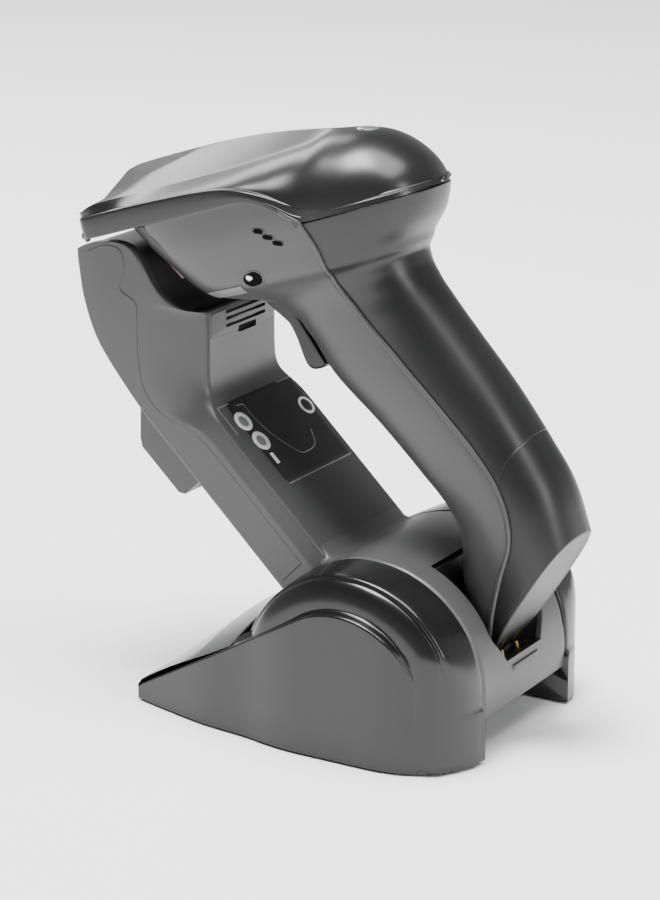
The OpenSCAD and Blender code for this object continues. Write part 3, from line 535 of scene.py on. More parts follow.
def arm_outline():
    """Pairs of points (y, z) up the back and up the front of the arm, from its root to the rim."""
    back, front = [], []
    for a_back, a_front in ((-28, -28), (-44, -44), (-62, -62), (-80, -80), (-91, -93), (-97, -102),
            (-100.3, -108)):
        back.append(arm_yz(a_back, 12.6))
        front.append(arm_yz(a_front, -8))
    for b, f in (((-65.9, 102.8), (-86.4, 93.2)), ((-67.2, 105.0), (-91, 98)), ((-68, 108.6), (-97.3, 105.3)),
                 ((-68, 114), (-103.3, 112.8)), ((-68, 121), (-108.2, 119.6)), ((-68, 127.5), (-111.2, 127)),
                 ((-68, 131.4), (-112.9, 133)), ((-68.6, 132.6), (-113.5, 135.5)),
                 ((-70.4, 132.8), (-113.8, 137.5)),
                 ((-75, 133.4), (-114.1, 139.5)), ((-80.2, 136), (-114.4, 141.6)),
                 ((-84.2, 139.6), (-114.6, 143.2)),
                 ((-88, 146.4), (-114.8, 144.6)), ((-91, 151), (-114.9, 145.6)),
                 ((-94.6, 153.6), (-115, 146.4)),
                 ((-99.5, 154.3), (-115.05, 147.1)), ((-106, 153.4), (-115.1, 147.8)),
                 ((-111, 151.8), (-115, 148.6)),
                 ((-113.6, 150.6), (-114.9, 149.2)), ((-114.4, 149.9), (-114.5, 149.8))):
        back.append(b)
        front.append(f)
    return np.array(back, float), np.array(front, float)


def arm_body():
    """Arm and head as one control cage. Each row crosses the arm from its back to its front; its
    corner is a long chamfer on the bar and a quarter of an oval on the head. Above the wall the
    rows follow the rim, and their middle sinks to the saddle under the scanner."""
    back, front = arm_outline()
    span = front - back
    length = np.linalg.norm(span, axis=1)
    way = span / length[:, None]
    y = back[:, 0]
    head = ease(96, 108, back[:, 1])
    oval = 20 + 8 * np.sqrt(np.clip(1 - np.clip((y + 90) / 22, 0, 1) ** 2, 0, 1))
    edge = np.where(head > 0, 26.2 + (np.where(y > -90, oval, 26.6) - 26.2) * head, 26.2)
    deep = np.where(y > -90, np.clip(y + 90, 1.4, 22), 1.4)
    deep = 5.5 + (deep - 5.5) * head
    deep = np.minimum(deep, length * 0.6)
    rim = ease(132.3, 133.2, back[:, 1]) * ease(0.5, 1, head)
    sink = rim * ease(-69.5, -76, y) * np.interp(y, [-114.5, -113, -107, -99], [0.0, 0.7, 2.5, 3.0])
    up = np.array([0, 1.0])

    def at(x, share, drop=0.0, along=None):
        p = back + way * (deep * share if along is None else along)[:, None]
        p = p - up * (drop * np.ones(len(back)))[:, None]
        return np.concatenate([(x * np.ones(len(back)))[:, None], p], 1)
    inner = np.minimum(24.1, edge - 0.6)
    cols = [at(0, 0, sink), at(12, 0, sink), at(inner - 4, 0, sink), at(inner - 0.5, 0, sink),
            at(inner, 0, sink * 0.8), at(inner + 0.15, 0, sink * 0.15),
            at(np.maximum(inner + 0.4, edge - 0.9), 0),
            at(edge - 0.3, 0)]
    for f_bar, g_bar, angle in ((0.06, 0.05, 12), (0.3, 0.25, 35), (0.62, 0.62, 60), (0.94, 0.93, 80),
                                (1.0, 1.05, 90)):
        f = f_bar + (np.sin(np.radians(angle)) - f_bar) * head
        g = g_bar + (1 - np.cos(np.radians(angle)) - g_bar) * head
        cols.append(at(edge + (28 - edge) * f, g))
    cols.append(at(28, 0, along=deep + 1.0))
    cols.append(at(28, 0, along=deep + (length - deep) * 0.5))
    for x, gap in ((28, 1.9), (28, 0.9), (27.75, 0.25), (27.1, 0), (25.8, 0), (14, 0), (0, 0)):
        cols.append(at(x, 0, along=length - np.minimum(gap, length * 0.2)))
    half = np.stack(cols, 1)
    return both_halves(half)[:, ::-1]


def drum():
    """Drum skin: rings of the cylinder round the tilt axis, with a notch cut for the foot of the
    handle. Near the arm the radius rises into the arm's face along a rounded corner."""
    r = 40.2

    def strip(a0, a1, x0, x1, rows, cols, lift=False):
        a = np.radians(np.linspace(a0, a1, rows))[:, None]
        x = x0(np.degrees(a)) + (x1(np.degrees(a)) - x0(np.degrees(a))) * np.linspace(0, 1, cols)
        radius = r + 0 * x
        if lift:
            plane = 12.6 / np.sin(np.maximum(np.radians(136) - a, 0.05))
            raised = -low_of(-radius, -(plane + 0 * x), 9.0)
            radius = radius + (raised - radius) * (1 - ease(23.5, 28.2, abs(x))) + 0.04
        radius = radius - 0.7 * np.clip((abs(x) - 28.3) / 0.7, 0, 1) ** 2
        return np.stack([x, radius * np.cos(a), AXIS_Z + radius * np.sin(a)], -1)

    def notch(a):
        w = r * np.sin(np.radians(a) - LEAN) + AXIS_Z * np.cos(LEAN)
        return 11.9 + 6.3 * ease(13.5, 26, w)

    def const(v):
        return lambda a: v + 0 * a
    low, high = 11.2, 69.0
    side = [strip(low, high, notch, const(29), 90, 14), strip(low, high, const(-29),
        lambda a: -notch(a), 90, 14)]
    side[0] = rolled(side[0], [2], 0.5, 1.4)
    side[1] = rolled(side[1], [3], 0.5, 1.4)
    under = strip(-10, low, const(-29), const(29), 30, 60)
    over = strip(high, 121, const(-29), const(29), 90, 80, lift=True)
    front = strip(129, 168, const(-29), const(29), 40, 30)
    return [rolled(under, [0], 0.4, 1.5)] + side + [over, front]


def cradle_body():
    """Cradle body: the arm cage and the drum skin."""
    return (build("arm_skin", [arm_body()], cage=3),
            build("drum_skin", drum(), inside=(0, 0, AXIS_Z)))


def face_strip(rows, lift):
    """A strip laid on the back of the arm: rows give the half width and the place (y, z), and the
    strip stands off by lift, square to the line of the rows."""
    rows = np.array(rows, float)
    half, yz = rows[:, 0], rows[:, 1:]
    step = np.gradient(yz, axis=0)
    out = np.stack([step[:, 1], -step[:, 0]], 1) / np.linalg.norm(step, axis=1)[:, None]
    yz = yz + out * lift
    x = np.linspace(-1, 1, 41)
    return np.stack([half[:, None] * x, yz[:, :1] + 0 * x, yz[:, 1:] + 0 * x], -1)


def face_cover():
    """Face cover: a thin plate that lies on the flat of the arm, with rolled rims."""
    rows = [(25.3,) + tuple(arm_yz(a, 12.6)) for a in np.linspace(-44.4, -96.5, 60)]
    return rolled(face_strip(rows, 0.16), [0, 1, 2, 3], 0.16, 0.3)


def flat_patch(x0, x1, a0, a1, lift, round_corner, n=40):
    """A flat rounded rectangle on the arm's face: rings of its outline shrink to its middle."""
    t = np.linspace(0, 2 * np.pi, 4 * n + 1)
    hx, ha = (x1 - x0) / 2, (a1 - a0) / 2
    e = round_corner
    x = (x0 + x1) / 2 + hx * power(np.cos(t), e)
    a = (a0 + a1) / 2 + ha * power(np.sin(t), e)
    rings = []
    for share, up in ((1, 12.6), (1, 12.6 + lift - 0.03), (0.997, 12.6 + lift), (0.9, 12.6 + lift),
            (0.0, 12.6 + lift)):
        rings.append(from_arm((x0 + x1) / 2 + (x - (x0 + x1) / 2) * share,
                              (a0 + a1) / 2 + (a - (a0 + a1) / 2) * share, up + 0 * x))
    return np.stack(rings)


def ribbon(points, width, lift, base=12.6):
    """A thin raised line on the arm's face along points (x, a): a low strip with sloping edges."""
    p = np.asarray(points, float)
    step = np.gradient(p, axis=0)
    out = np.stack([step[:, 1], -step[:, 0]], 1) / np.linalg.norm(step, axis=1)[:, None]
    rows = []
    for side, up in ((-1, 0), (-0.8, lift), (0.8, lift), (1, 0)):
        q = p + out * width / 2 * side
        rows.append(from_arm(q[:, 0], q[:, 1], base + up + 0 * q[:, 0]))
    return np.stack(rows)


def ring_mark(x, a, radius, inner, base, lift):
    """A printed or moulded ring on the arm's face: a revolved profile between two radii."""
    t = np.linspace(0, 2 * np.pi, 49)
    rings = []
    for r, up in ((radius, 0), (radius, lift * 0.7), (radius - 0.12, lift), (inner + 0.12, lift),
                  (inner, lift * 0.7), (inner, 0)):
        rings.append(from_arm(x + r * np.cos(t), a + r * np.sin(t), base + up + 0 * t))
    return np.stack(rings)


def disc(x, a, radius, base, lift):
    """A low domed disc on the arm's face."""
    t = np.linspace(0, 2 * np.pi, 49)
    return np.stack([from_arm(x + r * np.cos(t), a + r * np.sin(t), base + up + 0 * t) for r, up in
                     ((radius, 0), (radius, lift * 0.6), (radius * 0.94, lift), (radius * 0.5, lift * 1.1),
                      (0, lift * 1.12))])


def side_panel():
    """Side panel: rows run up the arm, a step inside its outline, and close to a line at both ends.
    The plate stands a little proud of the arm's flank, with rolled rims."""
    back, front = arm_outline()
    keep = slice(1, -4)
    back, front = back[keep], front[keep]
    way = (front - back) / np.linalg.norm(front - back, axis=1)[:, None]
    head = ease(96, 110, back[:, 1])
    start = 8.0 + 15.5 * head * ease(-92, -74, back[:, 0])
    start = np.where(back[:, 0] < -86, 5.0, start)
    start = np.convolve(np.pad(start, 2, mode="edge"), [0.1, 0.2, 0.4, 0.2, 0.1], "valid")
    lo = back + way * start[:, None]
    hi = front - way * 3.0
    k = np.linspace(0, len(lo) - 1, 120)
    idx = np.arange(len(lo))
    lo, hi = smooth(idx, lo, k), smooth(idx, hi, k)
    s = np.linspace(0, 1, 16)[None, :, None]
    yz = lo[:, None] + (hi - lo)[:, None] * s
    g = np.concatenate([np.full(yz.shape[:2] + (1,), 28.22), yz], -1)
    return rolled(g, [0, 1, 2, 3], 0.22, 0.2)


# ---------------------------------------------------------------- base skins

PLAN = np.array([[-85, 40.5], [-68, 45.2], [-55, 48.4], [-35, 51], [-24, 53.2], [-14, 54], [10, 54],
    [19, 53.2],
                 [27, 51], [33, 48], [36.6, 43.4], [40.2, 36], [41.2, 29.4]])


def dome():
    """Round cheek with its pivot ear: a profile turned round the tilt axis. Behind the axis each
    radius is held inside the plan's rounded corner, and below it inside the floor line."""
    profile = np.array([
        [50.5, 0], [50.5, 16], [50.5, 26], [50.45, 29], [50.3, 31.2], [49.95, 33.2], [49.35, 35],
            [48.5, 36.5],
        [47.6, 37.6], [46.9, 38.2], [46.6, 38.35], [46.5, 38.1], [46.38, 37.7], [46.2, 37.7],
        [46.1, 38.2], [46.0, 38.9],
        [45.8, 39.25], [45.4, 39.5], [44.8, 39.68], [43, 39.85], [40, 40.05], [36, 40.25], [32, 40.45],
        [30.6, 40.5], [30.1, 40.42], [29.7, 40.15], [29.45, 39.75], [29.4, 39], [29.4, 30], [29.4, 16]])
    x, r = profile[:, 0], profile[:, 1]
    a = np.radians(np.concatenate([np.linspace(-89, -31, 12), np.linspace(-30, 200, 210)]))[:, None]
    order = np.argsort(PLAN[6:, 1])
    rear = np.interp(x, PLAN[6:, 1][order], PLAN[6:, 0][order])
    grow = 46 * ease(0.02, np.radians(34), -a) * (r / 34) ** 3
    radius = low_of(r + grow, rear / np.maximum(np.cos(a), 0.02), 2.2)
    floor = np.where(a < 0, (AXIS_Z - 0.8) / np.maximum(-np.sin(a), 1e-3), 1e3)
    radius = np.minimum(radius, floor)
    return np.stack([x + 0 * radius, radius * np.cos(a), AXIS_Z + radius * np.sin(a)], -1)


def skirt_top(y):
    """Height of the skirt's ledge: a straight slope, then an arc of radius 29 round the tilt axis."""
    slope = AXIS_Z + 29 * np.sin(np.radians(120)) + (y + 14.5) * np.tan(np.radians(30))
    arc = AXIS_Z + np.sqrt(np.clip(29 ** 2 - y ** 2, 16, None))
    return np.where(y < -14.5, slope, arc)


def skirt():
    """Proud skirt along the base's flank: its cross-section, with a hollow corner above the ledge
    and a round one below, is swept along the plan's outline."""
    y = np.concatenate([np.linspace(-85, -20, 70), np.linspace(-19, 31, 90)])
    x = smooth(PLAN[:, 0], PLAN[:, 1], y) - 1.1 * ease(22, 31, y)
    top = skirt_top(y)
    ledge = 3.4 * (1 - ease(16, 28, y)) + 0.4
    by_dome = ease(-52, -38, y)
    cols = []
    for back, up in ((1.25, 2.2), (1.0, 1.2), (0.9, 0.62), (0.8, 0.36), (0.65, 0.2), (0.5, 0.14)):
        cols.append(np.stack([x - ledge * back, y,
            top + up * by_dome - 0.3 * (1 - by_dome) * (back > 0.9)], -1))
    for turn in (90, 72, 54, 36, 18, 0):
        t = np.radians(turn)
        cols.append(np.stack([x - 0.9 + 0.9 * np.cos(t), y, top - 0.9 + 0.9 * np.sin(t)], -1))
    for share in (0.97, 0.5, 0.03, 0):
        cols.append(np.stack([x, y, 0.8 + (top - 0.9 - 0.8) * share], -1))
    return np.stack(cols, 1)


def deck():
    """Sloping deck: a straight slope with a crown that is highest on the middle line, rounded at
    the toe and turned down behind."""
    y = np.concatenate([[-85, -85, -84.94, -84.75, -84.4, -83.9, -83.2], np.linspace(-82, -43.6, 60),
                        [-43.2, -42.9, -42.8, -42.8]])
    drop = np.concatenate([[20, 1.6, 1.1, 0.6, 0.25, 0.08, 0], np.zeros(60), [0.12, 0.5, 1.2, 9]])
    half = smooth(PLAN[:, 0], PLAN[:, 1], y) - np.where(y < -84.9, 0.0, 1.2)
    x = np.linspace(-1, 1, 81) * half[:, None]
    crown = 7 * (1 - (x / 46) ** 2) * np.minimum(1, (y[:, None] + 85) / 26)
    z = 7 + (y[:, None] + 85) * np.tan(np.radians(30)) * 0.985 + crown - drop[:, None]
    return np.stack([x, y[:, None] + 0 * x, np.maximum(z, 0.8)], -1)


def base_frame():
    """Base moulding: two cheeks, two skirts and the deck."""
    cheek, side = dome(), skirt()
    return build("base_skin", [cheek, mirrored(cheek), side, mirrored(side), deck()], inside=(0, -10, 4))


# ---------------------------------------------------------------- small parts

def marks():
    """Printed lines and the film's outline on the arm's face."""
    t = np.linspace(0, 1, 60)
    path = np.array([[12.6, -99.6], [9.2, -99.3], [8.6, -93], [6.6, -86], [1.5, -77.5], [-2.5, -75],
                     [-9.8, -76], [-13.6, -81.5]])
    curve = smooth(np.linspace(0, 1, len(path)), path, t)
    lines = [ribbon(curve, 0.32, 0.03, 12.84), ribbon([[22.2, -90], [22.2, -98], [22.2, -101.3]], 0.3,
        0.03, 12.84),
             ribbon([[22.2, -101.3], [18, -101.3], [15.5, -101.3]], 0.3, 0.03, 12.84),
             ribbon([[16, -67.6], [0, -67.6], [-23.4, -67.6]], 0.34, 0.05, 12.78),
             ribbon([[-15, -101.5], [-19, -101.5], [-23.4, -101.5]], 0.28, 0.03, 12.84)]
    return build("face_marks", lines, inside=from_arm(0, -85, 0.0))


def film():
    """Dark film on the face cover."""
    return build("film_skin", [flat_patch(-24, 17, -102, -68, 0.24, 0.1)], inside=from_arm(0, -85, 0.0))


def rings():
    """Two status rings and a dash mark."""
    parts = []
    for x, a in ((15, -93.6), (13.8, -85)):
        parts.append(ring_mark(x, a, 3.7, 2.15, 12.78, 0.3))
    parts.append(flat_patch(13.1, 14.7, -79.8, -75.4, 0.4, 0.2, 10))
    return build("status_rings", parts, inside=from_arm(0, -85, 0.0))


def ring_caps():
    """Caps inside the ring marks."""
    return build("status_lenses", [disc(15, -93.6, 2.2, 12.8, 0.12), disc(13.8, -85, 2.2, 12.8, 0.12)],
                 inside=from_arm(0, -85, 0.0))


def page_button():
    """Page button: a pale ring round a dark cap that stands a little proud."""
    return (build("page_ring", [ring_mark(-20.4, -89.8, 3.5, 2.5, 12.72, 0.42)],
        inside=from_arm(0, -85, 0.0)),
            build("page_cap", [disc(-20.4, -89.8, 2.55, 12.72, 0.32)], inside=from_arm(0, -85, 0.0)))


def wall_box(x0, x1, z0, z1, y, lift, r=0.25):
    """A low plate on the upright wall: rings of its outline, rounded at the edge."""
    t = np.linspace(0, 2 * np.pi, 81)
    cx, cz, hx, hz = (x0 + x1) / 2, (z0 + z1) / 2, (x1 - x0) / 2, (z1 - z0) / 2
    out = []
    for share, up in ((1, -0.5), (1, lift - r * 0.6), (1, lift - 0.1), (0, lift)):
        inset = 0 if up < lift - 0.11 else r
        px = cx + (hx - inset) * power(np.cos(t), 0.12) * (share > 0)
        pz = cz + (hz - inset) * power(np.sin(t), 0.12) * (share > 0)
        out.append(np.stack([px, y + up + 0 * t, pz], -1))
    return np.stack(out)


def vent_panel():
    """Vent panel: a thin plate on the wall, with dark plates of painted shade for its slots and for a wider
    pocket below them.
    """
    plate = build("vent_plate", [wall_box(-19.2, 19.2, 122.8, 131.3, -68, 0.22)], inside=(0, -75, 127))
    # the slots and the pocket are dark plates just proud of the panel: painted shade in place of openings
    slots = [wall_box(-14, 10.2, z, z + 1.2, -68, 0.27, 0.05) for z in (124.9, 127.3, 129.6)]
    slots.append(wall_box(-8.1, 2.4, 121.7, 123.9, -68, 0.3, 0.05))
    return plate, build("vent_slot_shade", slots, inside=(0, -75, 127))


def lip_tab():
    """Small tab under the notch of the drum: a low bar that follows the drum's curve."""
    x = np.array([-8.6, -8.6, -8.3, -7.6, 7.6, 8.3, 8.6, 8.6])
    up = np.array([39.9, 40.45, 40.7, 40.78, 40.78, 40.7, 40.45, 39.9])
    rows = []
    for a, share in ((5.4, 0), (5.4, 0.8), (5.9, 1), (7.4, 1), (7.9, 0.8), (7.9, 0)):
        r = 39.9 + (up - 39.9) * share
        rows.append(np.stack([x, r * np.cos(np.radians(a)), AXIS_Z + r * np.sin(np.radians(a))], -1))
    return build("lip_tab", [np.stack(rows)], inside=(0, 0, AXIS_Z))


def flank_oval(u, w, tilt, length, width, profile):
    """Rings of a rounded slot on the right flank, centred at station u and height w. Each ring is
    pushed out of the skin by its lift, square to the flank."""
    def on_skin(us, ws):
        t = angle_at(ws, us)
        return skin(ws, t)
    c = on_skin(np.array([u, u + 0.3, u]), np.array([w, w, w + 0.3]))
    e1, e2 = c[1] - c[0], c[2] - c[0]
    n = np.cross(e2, e1)
    n = n / np.linalg.norm(n)
    n = n * np.sign(n[0])
    t = np.linspace(0, 2 * np.pi, 49)
    rings = []
    for share, lift in profile:
        a = ((length - width) / 2 * power(np.cos(t), 0.25) + width / 2 * np.cos(t)) * share
        b = width / 2 * np.sin(t) * share
        uu = u + a * np.cos(tilt) - b * np.sin(tilt)
        ww = w + a * np.sin(tilt) + b * np.cos(tilt)
        p = on_skin(uu, ww) + n * lift
        rings.append(p)
    g = np.stack(rings)
    return g


def flank_set(name, ovals, inside_u=10.0):
    """Ovals on both flanks of the head as one piece."""
    grids = []
    for oval in ovals:
        g = from_scanner(oval[..., 0], oval[..., 1], oval[..., 2])
        grids += [g, mirrored(g)]
    fixed = []
    for g in grids:
        middle = from_scanner(0, inside_u, 160.0)
        fixed.append(outwards(g, middle))
    return build(name, fixed, inside=from_scanner(0, inside_u, 160.0))


def flank_vents():
    """Three pill vents on each flank: a raised rim, and a dark floor of painted shade laid just proud of the
    skin where the vent's inside would be.
    """
    places = [(11 + 2.6 * i, 169.4 - 2.6 * i) for i in range(3)]
    rim = [flank_oval(u, w, np.radians(-18), 4.9, 2.1, ((1, -0.1), (1, 0.12), (0.9, 0.2), (0.8, 0.16),
        (0.74, 0.02)))
           for u, w in places]
    # the floor is a dark plate just proud of the skin: painted shade for the inside of the vent
    floor = [flank_oval(u, w, np.radians(-18), 3.9, 1.5, ((1, 0.05), (0.5, 0.07), (0, 0.07))) for u,
        w in places]
    return flank_set("vent_rims", rim), flank_set("vent_floor_shade", floor)


def flank_screws():
    """Oval screw recesses: a dished rim, a black floor of painted shade laid just proud of the skin for the
    recess's depth, and the screw's head.
    """
    rim = flank_oval(1.3, 154.6, np.radians(8), 8.6, 5.6, ((1, -0.1), (1, 0.1), (0.93, 0.18),
        (0.86, 0.1), (0.82, 0.02)))
    # the floor is a dark plate just proud of the skin: painted shade for the inside of the recess
    floor = flank_oval(1.3, 154.6, np.radians(8), 7.2, 4.7, ((1, 0.06), (0.5, 0.08), (0, 0.08)))
    head = flank_oval(0.2, 155.3, np.radians(8), 2.4, 2.2, ((1, 0.08), (0.9, 0.3), (0.5, 0.36), (0, 0.36)))
    return flank_set("recess_rims", [rim]), flank_set("recess_floor_shade",
        [floor]), flank_set("recess_heads", [head])


def lamp_lens():
    """Good-read lamp: a low oval lens on the hood's ridge."""
    t = np.linspace(0, 2 * np.pi, 49)
    rings = []
    for share, lift in ((1, -0.6), (1, 0.1), (0.93, 0.32), (0.5, 0.5), (0, 0.55)):
        u, x = 41 + 3.5 * share * np.cos(t), 3.5 * share * np.sin(t)
        row = hood_rows(u)
        rings.append(np.stack([x, u, row[..., 4] - 0.045 * x * x * 0.6 + lift], -1))
    g = np.stack(rings)
    return build("lamp_lens", [from_scanner(g[..., 0], g[..., 1], g[..., 2])])


def label():
    """Blank rating label on the head's lower flank, laid on the skin."""
    u, w = np.meshgrid(np.linspace(-20.5, -4.5, 20), np.linspace(150.6, 153.4, 8))
    ang = angle_at(w, u)
    p = skin(w, ang)
    g = from_scanner(p[..., 0] + 0.12, p[..., 1], p[..., 2] - 0.06)
    return build("label_skin", [rolled(g, [0, 1, 2, 3], 0.05, 0.1)], inside=from_scanner(0, 0, 165.0))


# ---------------------------------------------------------------- finishes

def group_of(name, inputs, outputs):
    """An empty shader node group with named sockets, and its two end nodes."""
    tree = bpy.data.node_groups.new(name, "ShaderNodeTree")
    for label_text, kind, value in inputs:
        sock = tree.interface.new_socket(label_text, in_out="INPUT", socket_type=kind)
        sock.default_value = value
    for label_text, kind in outputs:
        tree.interface.new_socket(label_text, in_out="OUTPUT", socket_type=kind)
    return tree, tree.nodes.new("NodeGroupInput"), tree.nodes.new("NodeGroupOutput")


def grain_group():
    """Moulded grain: two sizes of noise make a fine bump, and a mask of its high spots."""
    tree, start, end = group_of(
        "Moulded Grain", [("Scale", "NodeSocketFloat", 2200.0), ("Depth", "NodeSocketFloat", 0.1)],
        [("Normal", "NodeSocketVector"), ("Grain", "NodeSocketFloat")])
    link = tree.links.new
    place_at = tree.nodes.new("ShaderNodeTexCoord")
    fine = tree.nodes.new("ShaderNodeTexNoise")
    fine.inputs["Detail"].default_value = 3.0
    fine.inputs["Roughness"].default_value = 0.6
    cell = tree.nodes.new("ShaderNodeTexVoronoi")
    mix = tree.nodes.new("ShaderNodeMath")
    mix.operation = "MULTIPLY_ADD"
    mix.inputs[1].default_value = 0.5
    bump = tree.nodes.new("ShaderNodeBump")
    bump.inputs["Distance"].default_value = 0.0001
    link(place_at.outputs["Object"], fine.inputs["Vector"])
    link(place_at.outputs["Object"], cell.inputs["Vector"])
    link(start.outputs["Scale"], fine.inputs["Scale"])
    link(start.outputs["Scale"], cell.inputs["Scale"])
    link(cell.outputs["Distance"], mix.inputs[0])
    link(fine.outputs["Fac"], mix.inputs[2])
    link(mix.outputs[0], bump.inputs["Height"])
    link(start.outputs["Depth"], bump.inputs["Strength"])
    link(bump.outputs["Normal"], end.inputs["Normal"])
    link(fine.outputs["Fac"], end.inputs["Grain"])
    return tree


def haze_group():
    """Handling haze: broad soft noise for uneven shine, and rare small specks of dust."""
    tree, start, end = group_of(
        "Handling Haze", [("Scale", "NodeSocketFloat", 28.0)],
        [("Haze", "NodeSocketFloat"), ("Specks", "NodeSocketFloat")])
    link = tree.links.new
    place_at = tree.nodes.new("ShaderNodeTexCoord")
    broad = tree.nodes.new("ShaderNodeTexNoise")
    broad.inputs["Detail"].default_value = 4.0
    soft = tree.nodes.new("ShaderNodeMapRange")
    soft.inputs["From Min"].default_value = 0.3
    soft.inputs["From Max"].default_value = 0.7
    dots = tree.nodes.new("ShaderNodeTexVoronoi")
    dots.inputs["Scale"].default_value = 620.0
    few = tree.nodes.new("ShaderNodeMapRange")
    few.inputs["From Min"].default_value = 0.07
    few.inputs["From Max"].default_value = 0.03
    link(place_at.outputs["Object"], broad.inputs["Vector"])
    link(place_at.outputs["Object"], dots.inputs["Vector"])
    link(start.outputs["Scale"], broad.inputs["Scale"])
    link(broad.outputs["Fac"], soft.inputs["Value"])
    link(dots.outputs["Distance"], few.inputs["Value"])
    link(soft.outputs["Result"], end.inputs["Haze"])
    link(few.outputs["Result"], end.inputs["Specks"])
    return tree


def finish(name, colour, rough, spread=0.05, grain=(2200.0, 0.1), metal=0.0, coat=0.0, dust=0.04,
           clear=0.0, spec=0.5):
    """A finish: haze shifts the colour and the roughness a little, grain bends the surface, and
    specks of dust lighten it."""
    mat = bpy.data.materials.new(name)
    mat.use_nodes = True
    nodes, link = mat.node_tree.nodes, mat.node_tree.links.new
    body = nodes["Principled BSDF"]
    body.inputs["Metallic"].default_value = metal
    body.inputs["Specular IOR Level"].default_value = spec
    body.inputs["Coat Weight"].default_value = coat
    body.inputs["Coat Roughness"].default_value = 0.06
    body.inputs["Transmission Weight"].default_value = clear
    haze = nodes.new("ShaderNodeGroup")
    haze.node_tree = bpy.data.node_groups["Handling Haze"]
    bumps = nodes.new("ShaderNodeGroup")
    bumps.node_tree = bpy.data.node_groups["Moulded Grain"]
    bumps.inputs["Scale"].default_value = grain[0]
    bumps.inputs["Depth"].default_value = grain[1]
    tone = nodes.new("ShaderNodeMix")
    tone.data_type = "RGBA"
    base = np.array(colour)
    tone.inputs["A"].default_value = (*(base * 0.93), 1)
    tone.inputs["B"].default_value = (*np.minimum(base * 1.07, 1), 1)
    dusty = nodes.new("ShaderNodeMix")
    dusty.data_type = "RGBA"
    dusty.inputs["B"].default_value = (*(base * (1 - dust) + 0.55 * dust), 1)
    shine = nodes.new("ShaderNodeMapRange")
    shine.inputs["To Min"].default_value = rough - spread
    shine.inputs["To Max"].default_value = rough + spread
    link(haze.outputs["Haze"], tone.inputs["Factor"])
    link(tone.outputs["Result"], dusty.inputs["A"])
    link(haze.outputs["Specks"], dusty.inputs["Factor"])
    link(dusty.outputs["Result"], body.inputs["Base Color"])
    link(haze.outputs["Haze"], shine.inputs["Value"])
    link(shine.outputs["Result"], body.inputs["Roughness"])
    link(bumps.outputs["Normal"], body.inputs["Normal"])
    return mat


def make_finishes(settings):
    """Makes the two shader groups and every finish."""
    grain_group()
    haze_group()
    fine = (2600.0, settings.grain_depth)
    light, cradle = tuple(settings.shell_colour), tuple(settings.cradle_colour)
    finish("Black gloss", (0.006, 0.006, 0.0063), 0.24, 0.03, (2200.0, 0.02), coat=0.0)
    finish("Dark shell", (0.006, 0.006, 0.0063), 0.36, 0.04, fine)
    finish("Cap shell", (0.003, 0.003, 0.0031), 0.42, 0.04, fine)
    finish("Hood shell", (0.009, 0.009, 0.0093), 0.3, 0.04, fine)
    finish("Light shell", light, 0.38, 0.04, fine)
    finish("Cradle grey", cradle, 0.4, 0.04, fine)
    finish("Panel grey", tuple(c * 1.06 for c in cradle), 0.44, 0.04, fine)
    # the cradle's grey made darker: painted shade for the arm's upward-facing flat
    finish("Face grey with painted shade", (0.04, 0.04, 0.041), 0.42, 0.04, fine)
    finish("Black matte", (0.012, 0.012, 0.012), 0.5, 0.06, (1800.0, 0.1))
    # Near black, rough and with little shine: painted shade for the insides of vents, slots and screw
    # recesses, laid on plates where no hole is cut.
    finish("Hole shade black", (0.002, 0.002, 0.002), 0.9, 0.05, (1800.0, 0.1), dust=0.0, spec=0.1)
    finish("Film", (0.014, 0.014, 0.015), 0.3, 0.04, (3000.0, 0.03))
    finish("Pale mark", (0.62, 0.62, 0.62), 0.4, 0.05, (3000.0, 0.03))
    finish("Status cap", (0.16, 0.16, 0.165), 0.3, 0.05, (3000.0, 0.03))
    finish("Line mark", (0.22, 0.22, 0.22), 0.45, 0.05, (3000.0, 0.03))
    finish("Red window", (0.16, 0.006, 0.01), 0.06, 0.02, (900.0, 0.01), coat=0.5, clear=0.5)
    finish("Lens", (0.01, 0.012, 0.02), 0.06, 0.02, (900.0, 0.01), coat=0.8)
    finish("Green lens", (0.03, 0.25, 0.12), 0.1, 0.03, (900.0, 0.02), coat=0.5)
    finish("Rubber", (0.015, 0.015, 0.015), 0.7, 0.06, (1500.0, 0.2))
    finish("Steel", (0.56, 0.56, 0.57), 0.28, 0.08, (1200.0, 0.05), metal=1.0, dust=0.0)
    finish("Gold plate", (0.42, 0.29, 0.11), 0.34, 0.06, (1200.0, 0.04), metal=1.0, dust=0.0)
    finish("Board", (0.015, 0.09, 0.04), 0.35, 0.06, (500.0, 0.15), coat=0.3)
    finish("Cell wrap", (0.03, 0.08, 0.2), 0.3, 0.05, (900.0, 0.03))
    finish("Washer", (0.55, 0.53, 0.45), 0.5, 0.06, (1500.0, 0.08))
    finish("Zinc weight", (0.35, 0.35, 0.36), 0.5, 0.08, (300.0, 0.3), metal=1.0)
    finish("Lamp", (0.09, 0.1, 0.095), 0.2, 0.05, (1500.0, 0.02), coat=0.5)
    finish("Label silver", (0.16, 0.16, 0.165), 0.45, 0.06, (3000.0, 0.04), metal=0.0)


